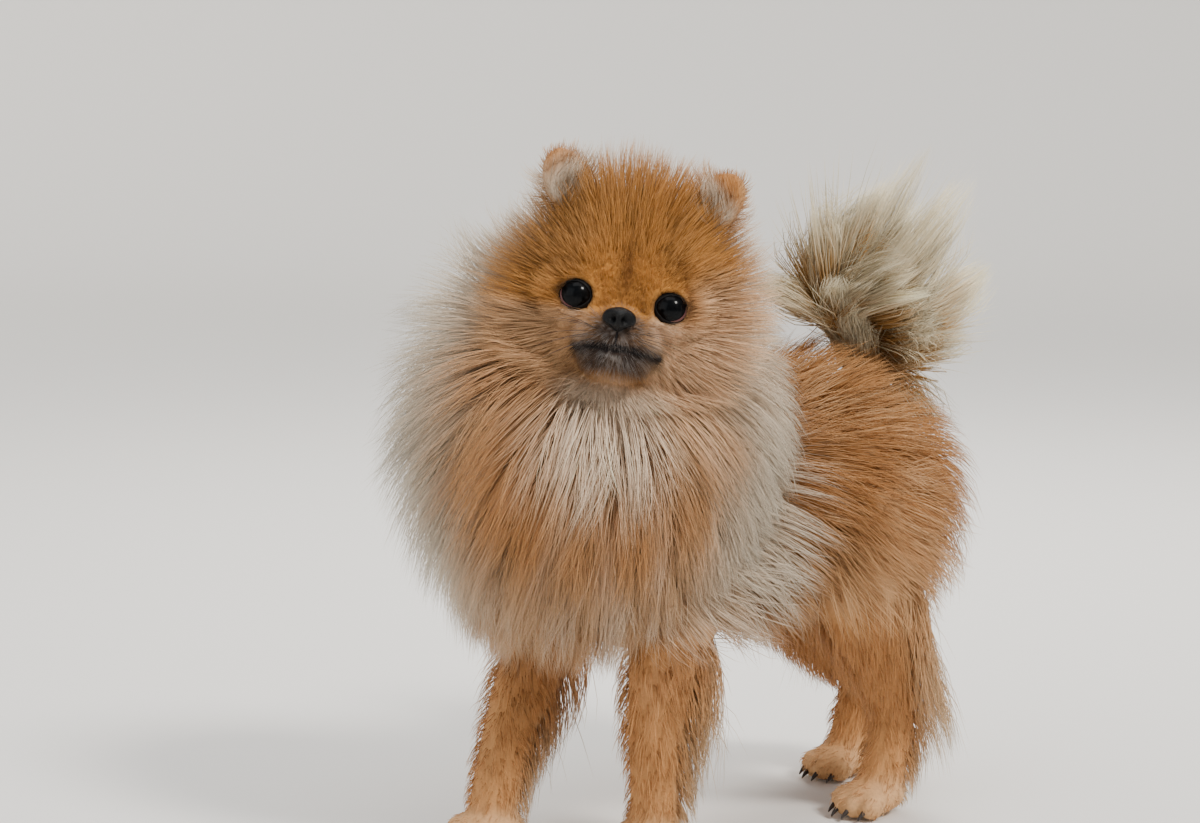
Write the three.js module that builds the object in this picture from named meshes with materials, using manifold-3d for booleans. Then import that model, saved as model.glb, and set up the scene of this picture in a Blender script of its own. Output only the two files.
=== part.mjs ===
// A life-size standing Pomeranian with its full coat, in millimetres, +Z up.
// The dog faces -Y and its left side is +X. Its head is turned to its left, towards the viewer.
// Each part of the body is a closed core that reaches about half way through the coat, and
// long hair is built over the core as flat, tapered locks that follow the lie of the coat.
import * as THREE from "three";
import { mergeVertices } from "three/addons/utils/BufferGeometryUtils.js";
import Module from "manifold-3d";

const wasm = await Module();
wasm.setup();

// Driving dimensions
const GAP = 0.3; // left between touching nodes
const CHEST_Z = 152; // height of the middle of the rib cage
const RIB_HALF_WIDTH = 60; // torso core, half way through the coat
const RUFF_CENTRE = [0, -4, 208]; // middle of the ball of the mane
const RUFF_CORE = [76, 76, 100]; // half axes of the mane's core
const TAIL_ROOT = [0, 176, 232];
const FRONT_PAWS = { left: [31, 2], right: [-31, -49] }; // where the paws stand, x and y
const REAR_PAWS = { left: [35, 143], right: [-35, 182] };
const PAW_HALF = [16.5, 20, 13]; // half width, half length, half height of a paw
const HEAD_TURN = 52; // degrees to the dog's left
const HEAD_RAISE = 9; // degrees nose up
const HEAD_ROLL = 8.5; // degrees, left side down
const EYE_MIDDLE = [58, -33, 273]; // point between the eyes
const EYE_SPACING = 43.5;
const EYE_RADIUS = 8.2;
const EAR_SPACING = 76;
const EAR_HEIGHT = 57; // ear middle above the eye line

const V = (x, y, z) => new THREE.Vector3(x, y, z);
const at = (a) => new THREE.Vector3(a[0], a[1], a[2]);
const mix = THREE.MathUtils.lerp;
const radians = THREE.MathUtils.degToRad;

// Seeded random numbers, so that every build is the same.
function randomFrom(seed) {
  let state = seed;
  return () => {
    state = (state * 1664525 + 1013904223) % 4294967296;
    return state / 4294967296;
  };
}

// A closed mesh from rings of points, with a pole point at each end.
function fromRings(rings, first, last) {
  const sides = rings[0].length;
  const points = [...rings.flat(), first, last];
  const start = rings.length * sides;
  const index = [];
  for (let j = 0; j < sides; j++) {
    const k = (j + 1) % sides;
    for (let i = 0; i + 1 < rings.length; i++) {
      const [a, b] = [i * sides + j, i * sides + k];
      const [c, d] = [a + sides, b + sides];
      index.push(a, b, d, a, d, c);
    }
    const end = (rings.length - 1) * sides;
    index.push(start, k, j, start + 1, end + j, end + k);
  }
  const geometry = new THREE.BufferGeometry().setFromPoints(points);
  return geometry.setIndex(index);
}

// A solid from a closed geometry, turned outward if its faces point in.
function solid(geometry) {
  const bare = new THREE.BufferGeometry();
  bare.setAttribute("position", geometry.getAttribute("position"));
  bare.setIndex(geometry.index);
  const merged = mergeVertices(bare, 1e-4);
  const vertProperties = new Float32Array(merged.attributes.position.array);
  const triVerts = new Uint32Array(merged.index.array);
  const make = () => new wasm.Manifold(new wasm.Mesh({ numProp: 3, vertProperties, triVerts }));
  const made = make();
  if (made.volume() > 0) return made;
  for (let i = 0; i < triVerts.length; i += 3) {
    [triVerts[i + 1], triVerts[i + 2]] = [triVerts[i + 2], triVerts[i + 1]];
  }
  return make();
}

function geometryOf(made) {
  const mesh = made.getMesh();
  const points = new Float32Array(mesh.numVert * 3);
  for (let i = 0; i < mesh.numVert; i++) {
    const from = i * mesh.numProp;
    points.set(mesh.vertProperties.subarray(from, from + 3), i * 3);
  }
  const geometry = new THREE.BufferGeometry();
  geometry.setAttribute("position", new THREE.BufferAttribute(points, 3));
  geometry.setIndex(new THREE.BufferAttribute(new Uint32Array(mesh.triVerts), 1));
  return geometry;
}

const join = (solids) => solids.reduce((a, b) => a.add(b));
const largest = (made) =>
  made.decompose().reduce((a, b) => (a.volume() > b.volume() ? a : b));

// A smooth tube through stations { at, wide, deep, up } with round ends.
// wide is the half width across `side`, deep the half height along the other way.
function tube(stations, { sides = 14, steps = 3, side = V(1, 0, 0), ends = 0.55 } = {}, grow = 0) {
  const path = new THREE.CatmullRomCurve3(stations.map((s) => at(s.at)), false, "centripetal");
  const last = stations.length - 1;
  const count = last * steps;
  const rings = [];
  const frames = [];
  for (let i = 0; i <= count; i++) {
    const t = i / count;
    const along = t * last;
    const low = Math.min(Math.floor(along), last - 1);
    const ease = along - low;
    const smooth = ease * ease * (3 - 2 * ease);
    const wide = mix(stations[low].wide, stations[low + 1].wide, smooth) + grow;
    const deep = mix(stations[low].deep, stations[low + 1].deep, smooth) + grow;
    const centre = path.getPoint(t);
    const forward = path.getTangent(t);
    const across = side.clone().addScaledVector(forward, -side.dot(forward)).normalize();
    const over = forward.clone().cross(across);
    frames.push({ centre, forward, across, over, wide, deep });
  }
  const ring = (f, scale, shift) =>
    Array.from({ length: sides }, (_, j) => {
      const a = (j / sides) * 2 * Math.PI;
      return f.centre
        .clone()
        .addScaledVector(f.forward, shift)
        .addScaledVector(f.across, Math.cos(a) * f.wide * scale)
        .addScaledVector(f.over, Math.sin(a) * f.deep * scale);
    });
  const [a, b] = [frames[0], frames[count]];
  const domeA = Math.min(a.wide, a.deep) * ends;
  const domeB = Math.min(b.wide, b.deep) * ends;
  rings.push(ring(a, 0.72, -domeA * 0.7));
  frames.forEach((f) => rings.push(ring(f, 1, 0)));
  rings.push(ring(b, 0.72, domeB * 0.7));
  const first = a.centre.clone().addScaledVector(a.forward, -domeA - grow);
  const end = b.centre.clone().addScaledVector(b.forward, domeB + grow);
  return solid(fromRings(rings, first, end));
}

// A closed ball whose radius is a function of direction, seen from its centre.
function ball(centre, radius, { sides = 24, rings = 14, turn = new THREE.Matrix4() } = {}, grow = 0) {
  const place = (direction) =>
    direction
      .clone()
      .multiplyScalar(radius(direction) + grow)
      .applyMatrix4(turn)
      .add(at(centre));
  const made = [];
  for (let i = 1; i < rings; i++) {
    const polar = (i / rings) * Math.PI;
    made.push(
      Array.from({ length: sides }, (_, j) => {
        const a = (j / sides) * 2 * Math.PI;
        const s = Math.sin(polar);
        return place(V(s * Math.cos(a), s * Math.sin(a), Math.cos(polar)));
      }),
    );
  }
  return solid(fromRings(made, place(V(0, 0, 1)), place(V(0, 0, -1))));
}

// Distance from the origin to an ellipsoid's surface along a direction.
function ellipsoid(rx, ry, rz) {
  return (d) => 1 / Math.hypot(d.x / rx, d.y / ry, d.z / rz);
}

// Distance along a direction to an off-centre ellipsoid, or 0 where it is missed.
function reach(d, centre, radii) {
  const k = V(d.x / radii[0], d.y / radii[1], d.z / radii[2]);
  const c = V(centre[0] / radii[0], centre[1] / radii[1], centre[2] / radii[2]);
  const [a, b, e] = [k.dot(k), k.dot(c), c.dot(c) - 1];
  const under = b * b - a * e;
  return under < 0 ? 0 : (b + Math.sqrt(under)) / a;
}

// The outline of a lock along its length: [share of length, share of width].
const LOCK_SHAPE = [
  [0, 0.75],
  [0.4, 1],
  [0.78, 0.62],
];

// One lock of hair: a flat, tapered blade that leaves the core at `root`, bends along `lie`
// and ends in a point `reach` above the core. Its root is sunk well into the core.
function lock({ root, normal, lie, length, width, sink = 8, rise = 0.16, reach: out = 4, droop = 0 }, grow = 0) {
  const flat = lie.clone().addScaledVector(normal, -lie.dot(normal)).normalize();
  const start = root.clone().addScaledVector(normal, -sink).addScaledVector(flat, -length * 0.06);
  const middle = root
    .clone()
    .addScaledVector(normal, length * rise + out * 0.5)
    .addScaledVector(flat, length * 0.42);
  const tip = root.clone().addScaledVector(normal, out).addScaledVector(flat, length);
  tip.z -= droop;
  const curve = new THREE.QuadraticBezierCurve3(start, middle, tip);
  const rings = LOCK_SHAPE.map(([t, share]) => {
    const centre = curve.getPoint(t);
    const forward = curve.getTangent(t);
    const across = forward.clone().cross(normal).normalize();
    const over = across.clone().cross(forward);
    const half = (width / 2) * share + grow;
    const thick = Math.max(0.9, width * 0.11 * share) + grow;
    return [
      centre.clone().addScaledVector(across, half),
      centre.clone().addScaledVector(over, thick),
      centre.clone().addScaledVector(across, -half),
      centre.clone().addScaledVector(over, -thick),
    ];
  });
  const end = curve.getTangent(1);
  const first = start.clone().addScaledVector(curve.getTangent(0), -0.5 - grow);
  return solid(fromRings(rings, first, tip.clone().addScaledVector(end, grow * 2)));
}

// Even directions over a sphere, in the order of a sunflower's seeds.
function evenDirections(count) {
  const golden = Math.PI * (3 - Math.sqrt(5));
  return Array.from({ length: count }, (_, i) => {
    const z = 1 - (2 * i + 1) / count;
    const s = Math.sqrt(1 - z * z);
    return V(s * Math.cos(i * golden), s * Math.sin(i * golden), z);
  });
}

// The head's own frame: x to the dog's left, -y out of the face, z up, from between the eyes.
const headFrame = new THREE.Matrix4().multiplyMatrices(
  new THREE.Matrix4().makeTranslation(...EYE_MIDDLE),
  new THREE.Matrix4()
    .makeRotationZ(radians(HEAD_TURN))
    .multiply(new THREE.Matrix4().makeRotationX(radians(-HEAD_RAISE)))
    .multiply(new THREE.Matrix4().makeRotationY(radians(HEAD_ROLL))),
);
const headTurn = new THREE.Matrix4().extractRotation(headFrame);
const headPoint = (x, y, z) => V(x, y, z).applyMatrix4(headFrame);
const headWay = (x, y, z) => V(x, y, z).applyMatrix4(headTurn);
const inHead = (x, y, z) => headPoint(x, y, z).toArray();

// Head: skull, cheeks, muzzle and chin as one smooth ball seen from the skull's middle.
const SKULL_BACK = 34; // skull middle behind the eye line
const SKULL = { centre: [0, 4, 8], radii: [56, 44, 57] };
const CHEEKS = { centre: [0, 4, -12], radii: [61, 37, 33] };
const MUZZLE = { centre: [0, -33, -17], radii: [18.5, 21, 13.5] };
const CHIN = { centre: [0, -30, -26.5], radii: [14, 18, 8.5] };
const NOSE = { centre: [0, -20, -9.5], radii: [7.8, 6.5, 6] };

function headRadius(d) {
  const power = 9;
  const sum = [SKULL, CHEEKS, MUZZLE, CHIN]
    .map((part) => reach(d, part.centre, part.radii))
    .reduce((total, r) => total + Math.pow(r, power), 0);
  return Math.pow(sum, 1 / power);
}
const headCentre = inHead(0, SKULL_BACK, 0);
const headCore = (grow) => ball(headCentre, headRadius, { sides: 28, rings: 19, turn: headTurn }, grow);

const eyeCentre = (side) => inHead((side * EYE_SPACING) / 2, -0.8, 0);
const eyeBall = (side, grow) =>
  ball(eyeCentre(side), () => EYE_RADIUS, { sides: 12, rings: 9, turn: headTurn }, grow);

// A ring of lid round each eye, a little oval, tilted outward with the eye.
function lid(side, grow) {
  const rounds = 14;
  const centre = at(eyeCentre(side));
  const facing = headWay(side * 0.3, -1, 0.02).normalize();
  const across = headWay(1, side * 0.3, 0).normalize();
  const up = facing.clone().cross(across).normalize();
  const rings = Array.from({ length: rounds }, (_, i) => {
    const a = (i / rounds) * 2 * Math.PI;
    const out = across.clone().multiplyScalar(Math.cos(a)).addScaledVector(up, Math.sin(a) * 0.94);
    const middle = centre.clone().addScaledVector(out, 7.6).addScaledVector(facing, 4.2);
    return Array.from({ length: 5 }, (_, j) => {
      const b = (j / 5) * 2 * Math.PI;
      return middle
        .clone()
        .addScaledVector(out, Math.cos(b) * (2.1 + grow))
        .addScaledVector(facing, Math.sin(b) * (1.9 + grow));
    });
  });
  return solid(closedRing(rings));
}

// A closed mesh from rings of points whose last ring joins the first.
function closedRing(rings) {
  const sides = rings[0].length;
  const index = [];
  rings.forEach((_, i) => {
    const next = (i + 1) % rings.length;
    for (let j = 0; j < sides; j++) {
      const k = (j + 1) % sides;
      const [a, b] = [i * sides + j, i * sides + k];
      const [c, d] = [next * sides + j, next * sides + k];
      index.push(a, b, d, a, d, c);
    }
  });
  return new THREE.BufferGeometry().setFromPoints(rings.flat()).setIndex(index);
}

// A thin bent tube of one radius, for the groove of the mouth and the nostrils.
function groove(points, radius, sides = 6) {
  const curve = new THREE.CatmullRomCurve3(points);
  const steps = points.length * 2;
  const rings = [];
  for (let i = 0; i <= steps; i++) {
    const forward = curve.getTangent(i / steps);
    const side = forward.clone().cross(headWay(0, -1, 0.02)).normalize();
    const over = side.clone().cross(forward);
    const centre = curve.getPoint(i / steps);
    rings.push(
      Array.from({ length: sides }, (_, j) => {
        const a = (j / sides) * 2 * Math.PI;
        return centre
          .clone()
          .addScaledVector(side, Math.cos(a) * radius)
          .addScaledVector(over, Math.sin(a) * radius);
      }),
    );
  }
  const first = curve.getPoint(0).addScaledVector(curve.getTangent(0), -radius);
  const last = curve.getPoint(1).addScaledVector(curve.getTangent(1), radius);
  return solid(fromRings(rings, first, last));
}

// A point on the head's surface, in the direction of a point given in the head's frame.
function onFace(x, y, z) {
  const direction = V(x, y - SKULL_BACK, z).normalize();
  return direction.multiplyScalar(headRadius(direction) - 0.2).applyMatrix4(headTurn).add(at(headCentre));
}

// The mouth runs round the muzzle from corner to corner, with the philtrum down from the nose.
function mouthGroove() {
  const line = [-20, -14, -7, 0, 7, 14, 20].map((x) => onFace(x, -19 + x * x * 0.035, -22.5 - Math.abs(x) * 0.14));
  const philtrum = [-13, -18, -23].map((z) => onFace(0, -19, z));
  return join([groove(line, 1.25), groove(philtrum, 0.8)]);
}

const noseCore = (grow) =>
  ball(inHead(...NOSE.centre), ellipsoid(...NOSE.radii), { sides: 14, rings: 8, turn: headTurn }, grow);
function nostril(side) {
  const centre = inHead(side * 3.9, NOSE.centre[1] - 5.6, NOSE.centre[2] - 0.6);
  return ball(centre, ellipsoid(1.5, 2.6, 1.9), { sides: 7, rings: 5, turn: headTurn });
}

// An ear is a small upright cup: a rounded cone with a hollow cut in its front.
const EAR = { halfWidth: 11, halfDeep: 6, tall: 15 };
function earShape(side, scale, shift, grow) {
  const centre = inHead((side * EAR_SPACING) / 2, 20 + shift, EAR_HEIGHT);
  const lean = new THREE.Matrix4()
    .multiplyMatrices(headTurn, new THREE.Matrix4().makeRotationZ(radians(side * -14)))
    .multiply(new THREE.Matrix4().makeRotationY(radians(side * 24)));
  const radius = (d) => {
    const point = d.z > 0 ? 1 + 0.22 * d.z * d.z : 1;
    return ellipsoid(EAR.halfWidth * scale, EAR.halfDeep * scale, EAR.tall * scale)(d) * point;
  };
  return ball(centre, radius, { sides: 12, rings: 8, turn: lean }, grow);
}
const earCore = (side, grow) => earShape(side, 1, 0, grow);

// Torso core: rib cage, loin and rump along the back.
const TORSO = [
  { at: [0, -22, CHEST_Z + 2], wide: 38, deep: 42 },
  { at: [0, 10, CHEST_Z], wide: RIB_HALF_WIDTH, deep: 62 },
  { at: [0, 48, CHEST_Z + 4], wide: RIB_HALF_WIDTH, deep: 64 },
  { at: [0, 92, CHEST_Z + 12], wide: 55, deep: 57 },
  { at: [0, 132, CHEST_Z + 18], wide: 58, deep: 58 },
  { at: [0, 162, CHEST_Z + 16], wide: 50, deep: 50 },
];
const torsoCore = (grow) => tube(TORSO, { sides: 18, steps: 2, ends: 0.9 }, grow);

const ruffCore = (grow) =>
  ball(RUFF_CENTRE, ellipsoid(...RUFF_CORE), { sides: 22, rings: 14 }, grow);

// Legs: [x, y] of the paw is fixed, and the upper joints lie under the trunk.
function frontLeg(side, paw, grow) {
  const x = side * 34;
  const elbowY = mix(paw[1], 18, 0.55);
  return tube(
    [
      { at: [side * 36, 22, 140], wide: 26, deep: 32 },
      { at: [x, elbowY, 98], wide: 20, deep: 25 },
      { at: [mix(x, paw[0], 0.6), mix(elbowY, paw[1], 0.6), 60], wide: 16.5, deep: 18 },
      { at: [paw[0], paw[1] + 4, 27], wide: 14.5, deep: 15.5 },
      { at: [paw[0], paw[1] + 3, 18], wide: 13, deep: 14 },
    ],
    { sides: 11, steps: 2, ends: 0.3 },
    grow,
  );
}

function rearLeg(side, paw, grow) {
  const swing = paw[1] - 150;
  return tube(
    [
      { at: [side * 38, 138, 165], wide: 32, deep: 46 },
      { at: [side * 44, 132 + swing * 0.3, 122], wide: 27, deep: 38 },
      { at: [side * 41, 146 + swing * 0.6, 84], wide: 20.5, deep: 25 },
      { at: [paw[0], paw[1] + 12, 55], wide: 16.5, deep: 18 },
      { at: [paw[0], paw[1] + 8, 28], wide: 14.5, deep: 15 },
      { at: [paw[0], paw[1] + 6, 18], wide: 13.5, deep: 14 },
    ],
    { sides: 11, steps: 2, ends: 0.3 },
    grow,
  );
}

// A paw: a low rounded pad with four toes in front, cut flat where it stands.
const SOLE = 2.2; // taken off the bottom so that it stands on a flat
function pawCore(paw, grow) {
  const [halfWide, halfLong, halfTall] = PAW_HALF;
  const low = halfTall - SOLE;
  const pad = ball([paw[0], paw[1], low], ellipsoid(halfWide * 0.93, halfLong, halfTall), { sides: 12, rings: 7 }, grow);
  const toes = [-1.5, -0.5, 0.5, 1.5].map((place) => {
    const forward = Math.abs(place) < 1 ? 15.5 : 11;
    const centre = [paw[0] + place * 8.1, paw[1] - forward, low - 3.2];
    return ball(centre, ellipsoid(4.9, 8.2, 8.6), { sides: 7, rings: 5 }, grow);
  });
  const claws = [-1.5, -0.5, 0.5, 1.5].map((place) => {
    const forward = Math.abs(place) < 1 ? 22.8 : 18.2;
    const centre = [paw[0] + place * 8.1, paw[1] - forward, 3.4];
    return ball(centre, ellipsoid(1.25, 3.4, 1.5), { sides: 5, rings: 3 }, grow);
  });
  return join([pad, ...toes, ...claws]);
}
// Everything below the floor, as a wide slab.
const underFloor = (top) => {
  const slab = new THREE.BoxGeometry(900, 900, 60);
  return solid(slab.translate(0, 60, top - 30));
};

// Tail: a short bone that rises from the croup and turns forward over the back.
const TAIL = [
  { at: [0, TAIL_ROOT[1] - 4, TAIL_ROOT[2] - 10], wide: 15, deep: 15 },
  { at: [0, TAIL_ROOT[1] - 3, TAIL_ROOT[2] + 6], wide: 15, deep: 15 },
  { at: [1, TAIL_ROOT[1] - 14, TAIL_ROOT[2] + 20], wide: 13, deep: 13 },
  { at: [3, TAIL_ROOT[1] - 28, TAIL_ROOT[2] + 24], wide: 9, deep: 9 },
];
const TAIL_FAN = [1, 160, 244]; // the locks spread from here
const tailCore = (grow) => tube(TAIL, { sides: 9, steps: 2, ends: 0.8 }, grow);

// Locks of the mane: they spread away from the face, hang at the chest and sweep back over the neck.
const FACE_FRONT = headPoint(0, -6, -6);
function ruffLocks() {
  const random = randomFrom(11);
  const centre = at(RUFF_CENTRE);
  const surface = ellipsoid(...RUFF_CORE);
  const toFace = FACE_FRONT.clone().sub(centre).normalize();
  return evenDirections(84)
    .filter((d) => d.dot(toFace) < 0.8 && d.z > -0.97 && !(d.y > 0.3 && d.z < 0.35))
    .map((d) => {
      const root = centre.clone().addScaledVector(d, surface(d));
      const normal = V(d.x / RUFF_CORE[0] ** 2, d.y / RUFF_CORE[1] ** 2, d.z / RUFF_CORE[2] ** 2);
      normal.multiplyScalar(surface(d)).normalize();
      const away = root.clone().sub(FACE_FRONT).normalize();
      const low = THREE.MathUtils.smoothstep(-d.z, -0.35, 0.6);
      const high = THREE.MathUtils.smoothstep(d.z, 0.25, 0.9);
      const lie = away.multiplyScalar(0.9).add(V(-d.x * 0.5 * low, 0.45 * high, -1.25 * (1 - high)));
      const length = mix(58, 66, random()) + 6 * low;
      return {
        root,
        normal,
        lie,
        length,
        width: mix(28, 34, random()),
        reach: mix(14, 22, random()) + 2 * high,
        droop: 3 * low,
      };
    });
}

// Locks of the trunk: back along the spine, down and back on the flanks, hanging at the belly.
function torsoLocks() {
  const random = randomFrom(23);
  const made = [];
  const rows = [66, 94, 122, 150];
  rows.forEach((y, row) => {
    const count = 10;
    for (let k = 0; k < count; k++) {
      const angle = ((k + (row % 2) * 0.5) / count) * 2 * Math.PI;
      const { root, normal } = onTorso(y + mix(-4, 4, random()), angle);
      const under = THREE.MathUtils.smoothstep(-normal.z, 0.2, 0.9);
      const lie = V(0.12 * normal.x, 0.85, -0.75 * (1 - Math.max(0, normal.z)));
      made.push({
        root,
        normal,
        lie,
        length: mix(46, 56, random()),
        width: mix(29, 34, random()),
        reach: mix(7, 12, random()) + 5 * Math.max(0, normal.z),
        droop: 10 * under,
      });
    }
  });
  // Round the rump, on the end of the trunk, below the tail.
  for (let k = 0; k < 9; k++) {
    const angle = radians(mix(-200, 20, k / 8));
    const size = k % 2 ? 24 : 40;
    const last = TORSO[TORSO.length - 1];
    made.push({
      root: at(last.at).add(V(Math.cos(angle) * size, k % 2 ? 36 : 24, Math.sin(angle) * size)),
      normal: V(Math.cos(angle) * 0.5, 0.85, Math.sin(angle) * 0.5).normalize(),
      lie: V(Math.cos(angle) * 0.4, 0.3, -1),
      length: mix(34, 42, random()),
      width: mix(27, 32, random()),
      reach: mix(6, 10, random()),
    });
  }
  return made;
}

// A point and its normal on the torso's core, at distance y along it and at an angle round it.
function onTorso(y, angle) {
  const last = TORSO.length - 1;
  let low = 0;
  while (low < last - 1 && y > TORSO[low + 1].at[1]) low++;
  const [a, b] = [TORSO[low], TORSO[low + 1]];
  const share = Math.min(1, Math.max(0, (y - a.at[1]) / (b.at[1] - a.at[1])));
  const ease = share * share * (3 - 2 * share);
  const wide = mix(a.wide, b.wide, ease);
  const deep = mix(a.deep, b.deep, ease);
  const root = V(Math.cos(angle) * wide, Math.min(y, b.at[1]), mix(a.at[2], b.at[2], share) + Math.sin(angle) * deep);
  const normal = V(Math.cos(angle) / wide, y > 150 ? 0.006 : 0, Math.sin(angle) / deep).normalize();
  return { root, normal };
}

// Locks of the tail: a fan from just above the back, over it, up and down behind the rump.
function tailLocks() {
  const random = randomFrom(37);
  const count = 30;
  return Array.from({ length: count }, (_, k) => {
    const angle = radians(mix(-40, 118, (k + random() * 0.5) / count));
    const splay = [-0.5, 0.12, 0.5, -0.16][k % 4] + mix(-0.08, 0.08, random());
    const lie = V(splay, Math.sin(angle), Math.cos(angle)).normalize();
    const normal = V(1, 0, 0).addScaledVector(lie, -lie.x).normalize();
    const low = THREE.MathUtils.smoothstep(angle, 1.2, 1.9);
    return {
      root: at(TAIL_FAN).addScaledVector(lie, 9),
      normal,
      lie,
      length: mix(66, 80, random()) + 22 * low,
      width: mix(19, 25, random()),
      sink: 0,
      rise: 0,
      reach: mix(-7, 7, random()),
      droop: 8 * low,
    };
  });
}

// Feathering behind a leg, and on the rear leg the wider breeches of the thigh.
function legLocks(points, seed) {
  const random = randomFrom(seed);
  return points.map(([x, y, z, length, width, sideways]) => ({
    root: V(x, y, z),
    normal: V(sideways, 1, 0.1).normalize(),
    lie: V(sideways * 0.5, 0.35, -1),
    length: length * mix(0.9, 1.1, random()),
    width: width * mix(0.9, 1.1, random()),
    sink: 7,
    rise: 0.22,
    reach: mix(5, 9, random()),
  }));
}

function frontFeather(side, paw, seed) {
  const elbowY = mix(paw[1], 18, 0.55);
  const points = [];
  [100, 76, 52].forEach((z, row) => {
    const y = mix(elbowY + 20, paw[1] + 17, row / 3);
    [-0.5, 0.45].forEach((sideways) => {
      const x = mix(side * 34, paw[0], row / 3) + side * sideways * 11;
      points.push([x, y - Math.abs(sideways) * 5, z, mix(40, 27, row / 3), mix(21, 16, row / 3), side * sideways]);
    });
  });
  return legLocks(points, seed);
}

function breeches(side, paw, seed) {
  const swing = paw[1] - 150;
  const points = [];
  [150, 120, 90].forEach((z, row) => {
    const y = mix(176 + swing * 0.1, 166 + swing * 0.6, row / 3);
    [-0.45, 0.25, 0.95].forEach((sideways) => {
      const x = side * 42 + side * sideways * mix(25, 16, row / 3);
      points.push([x, y - Math.abs(sideways) * mix(16, 8, row / 3), z, mix(44, 30, row / 3), mix(25, 18, row / 3), side * sideways]);
    });
  });
  return legLocks(points, seed);
}

// The nodes. `core` and `locks` are made twice: as they are, and grown by the gap to keep others clear.
const plan = [
  { name: "eye_left", core: (g) => eyeBall(1, g), colour: "#0a0b10", rough: 0.05, head: true },
  { name: "eye_right", core: (g) => eyeBall(-1, g), colour: "#0a0b10", rough: 0.05, head: true },
  { name: "nose", core: noseCore, cut: () => join([nostril(1), nostril(-1)]), colour: "#15161b", rough: 0.4, head: true },
  { name: "ear_left", core: (g) => earCore(1, g), cut: () => earShape(1, 0.74, -5, 0), colour: "#c48a50", rough: 0.9, head: true },
  { name: "ear_right", core: (g) => earCore(-1, g), cut: () => earShape(-1, 0.74, -5, 0), colour: "#c48a50", rough: 0.9, head: true },
  {
    name: "head",
    core: (g) => join([headCore(g), lid(1, g), lid(-1, g)]),
    cut: mouthGroove,
    colour: "#b97b3f",
    rough: 0.9,
    head: true,
  },
  ...["left", "right"].flatMap((name) => {
    const side = name === "left" ? 1 : -1;
    return [
      { name: `front_${name}_paw`, core: (g) => pawCore(FRONT_PAWS[name], g), floor: true, colour: "#b9834f", rough: 0.9 },
      { name: `rear_${name}_paw`, core: (g) => pawCore(REAR_PAWS[name], g), floor: true, colour: "#b9834f", rough: 0.9 },
      {
        name: `front_${name}_leg`,
        core: (g) => frontLeg(side, FRONT_PAWS[name], g),
        under: "torso",
        locks: frontFeather(side, FRONT_PAWS[name], 60 + side),
        colour: "#c08a52",
        rough: 0.9,
      },
      {
        name: `rear_${name}_leg`,
        core: (g) => rearLeg(side, REAR_PAWS[name], g),
        under: "torso",
        locks: breeches(side, REAR_PAWS[name], 80 + side),
        colour: "#c48c55",
        rough: 0.9,
      },
    ];
  }),
  { name: "tail", core: tailCore, under: "torso", locks: tailLocks(), colour: "#cbbca4", rough: 0.9 },
  { name: "torso", core: torsoCore, locks: torsoLocks(), colour: "#bd8146", rough: 0.9 },
  { name: "mane", core: ruffCore, locks: ruffLocks(), colour: "#d2b48c", rough: 0.9 },
];

const bare = new Map(plan.map((node) => [node.name, node.core(0)]));
const clear = new Map(plan.map((node) => [node.name, node.core(GAP)]));
const lockClear = [];
const floorCut = underFloor(0);
const lockFloor = underFloor(4);

const dog = new THREE.Group();
dog.name = "pomeranian";
const head = new THREE.Group();
head.name = "head_turned";
head.applyMatrix4(headFrame);
dog.add(head);
const intoHead = headFrame.clone().invert();

plan.forEach((node, order) => {
  const before = plan.slice(0, order).map((n) => n.name);
  let core = bare.get(node.name);
  const around = node.under ? [...before, node.under] : before;
  around
    .filter((name) => !(plan.find((n) => n.name === name).under === node.name))
    .forEach((name) => {
      core = core.subtract(clear.get(name));
    });
  if (node.cut) core = core.subtract(node.cut());
  core = core.subtract(node.floor ? floorCut : lockFloor);
  core = largest(core);
  if (node.locks) {
    let locks = join(node.locks.map((one) => lock(one)));
    plan
      .filter((n) => n.name !== node.name)
      .forEach((n) => {
        locks = locks.subtract(clear.get(n.name));
      });
    locks = locks.subtract(lockFloor);
    core = core.add(locks);
  }
  lockClear.forEach((one) => {
    core = core.subtract(one);
  });
  core = largest(core);
  if (node.locks) lockClear.push(join(node.locks.map((one) => lock(one, GAP))));
  const material = new THREE.MeshStandardMaterial({ color: node.colour, roughness: node.rough, metalness: 0 });
  const geometry = geometryOf(core);
  if (node.head) geometry.applyMatrix4(intoHead);
  const mesh = new THREE.Mesh(geometry, material);
  mesh.name = node.name;
  (node.head ? head : dog).add(mesh);
});

// The origin is on the floor, under the middle of the whole outline.
dog.updateMatrixWorld(true);
const outline = new THREE.Box3().setFromObject(dog, true);
const middle = outline.getCenter(new THREE.Vector3());
dog.position.set(-middle.x, -middle.y, -outline.min.z);

export default dog;
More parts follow.
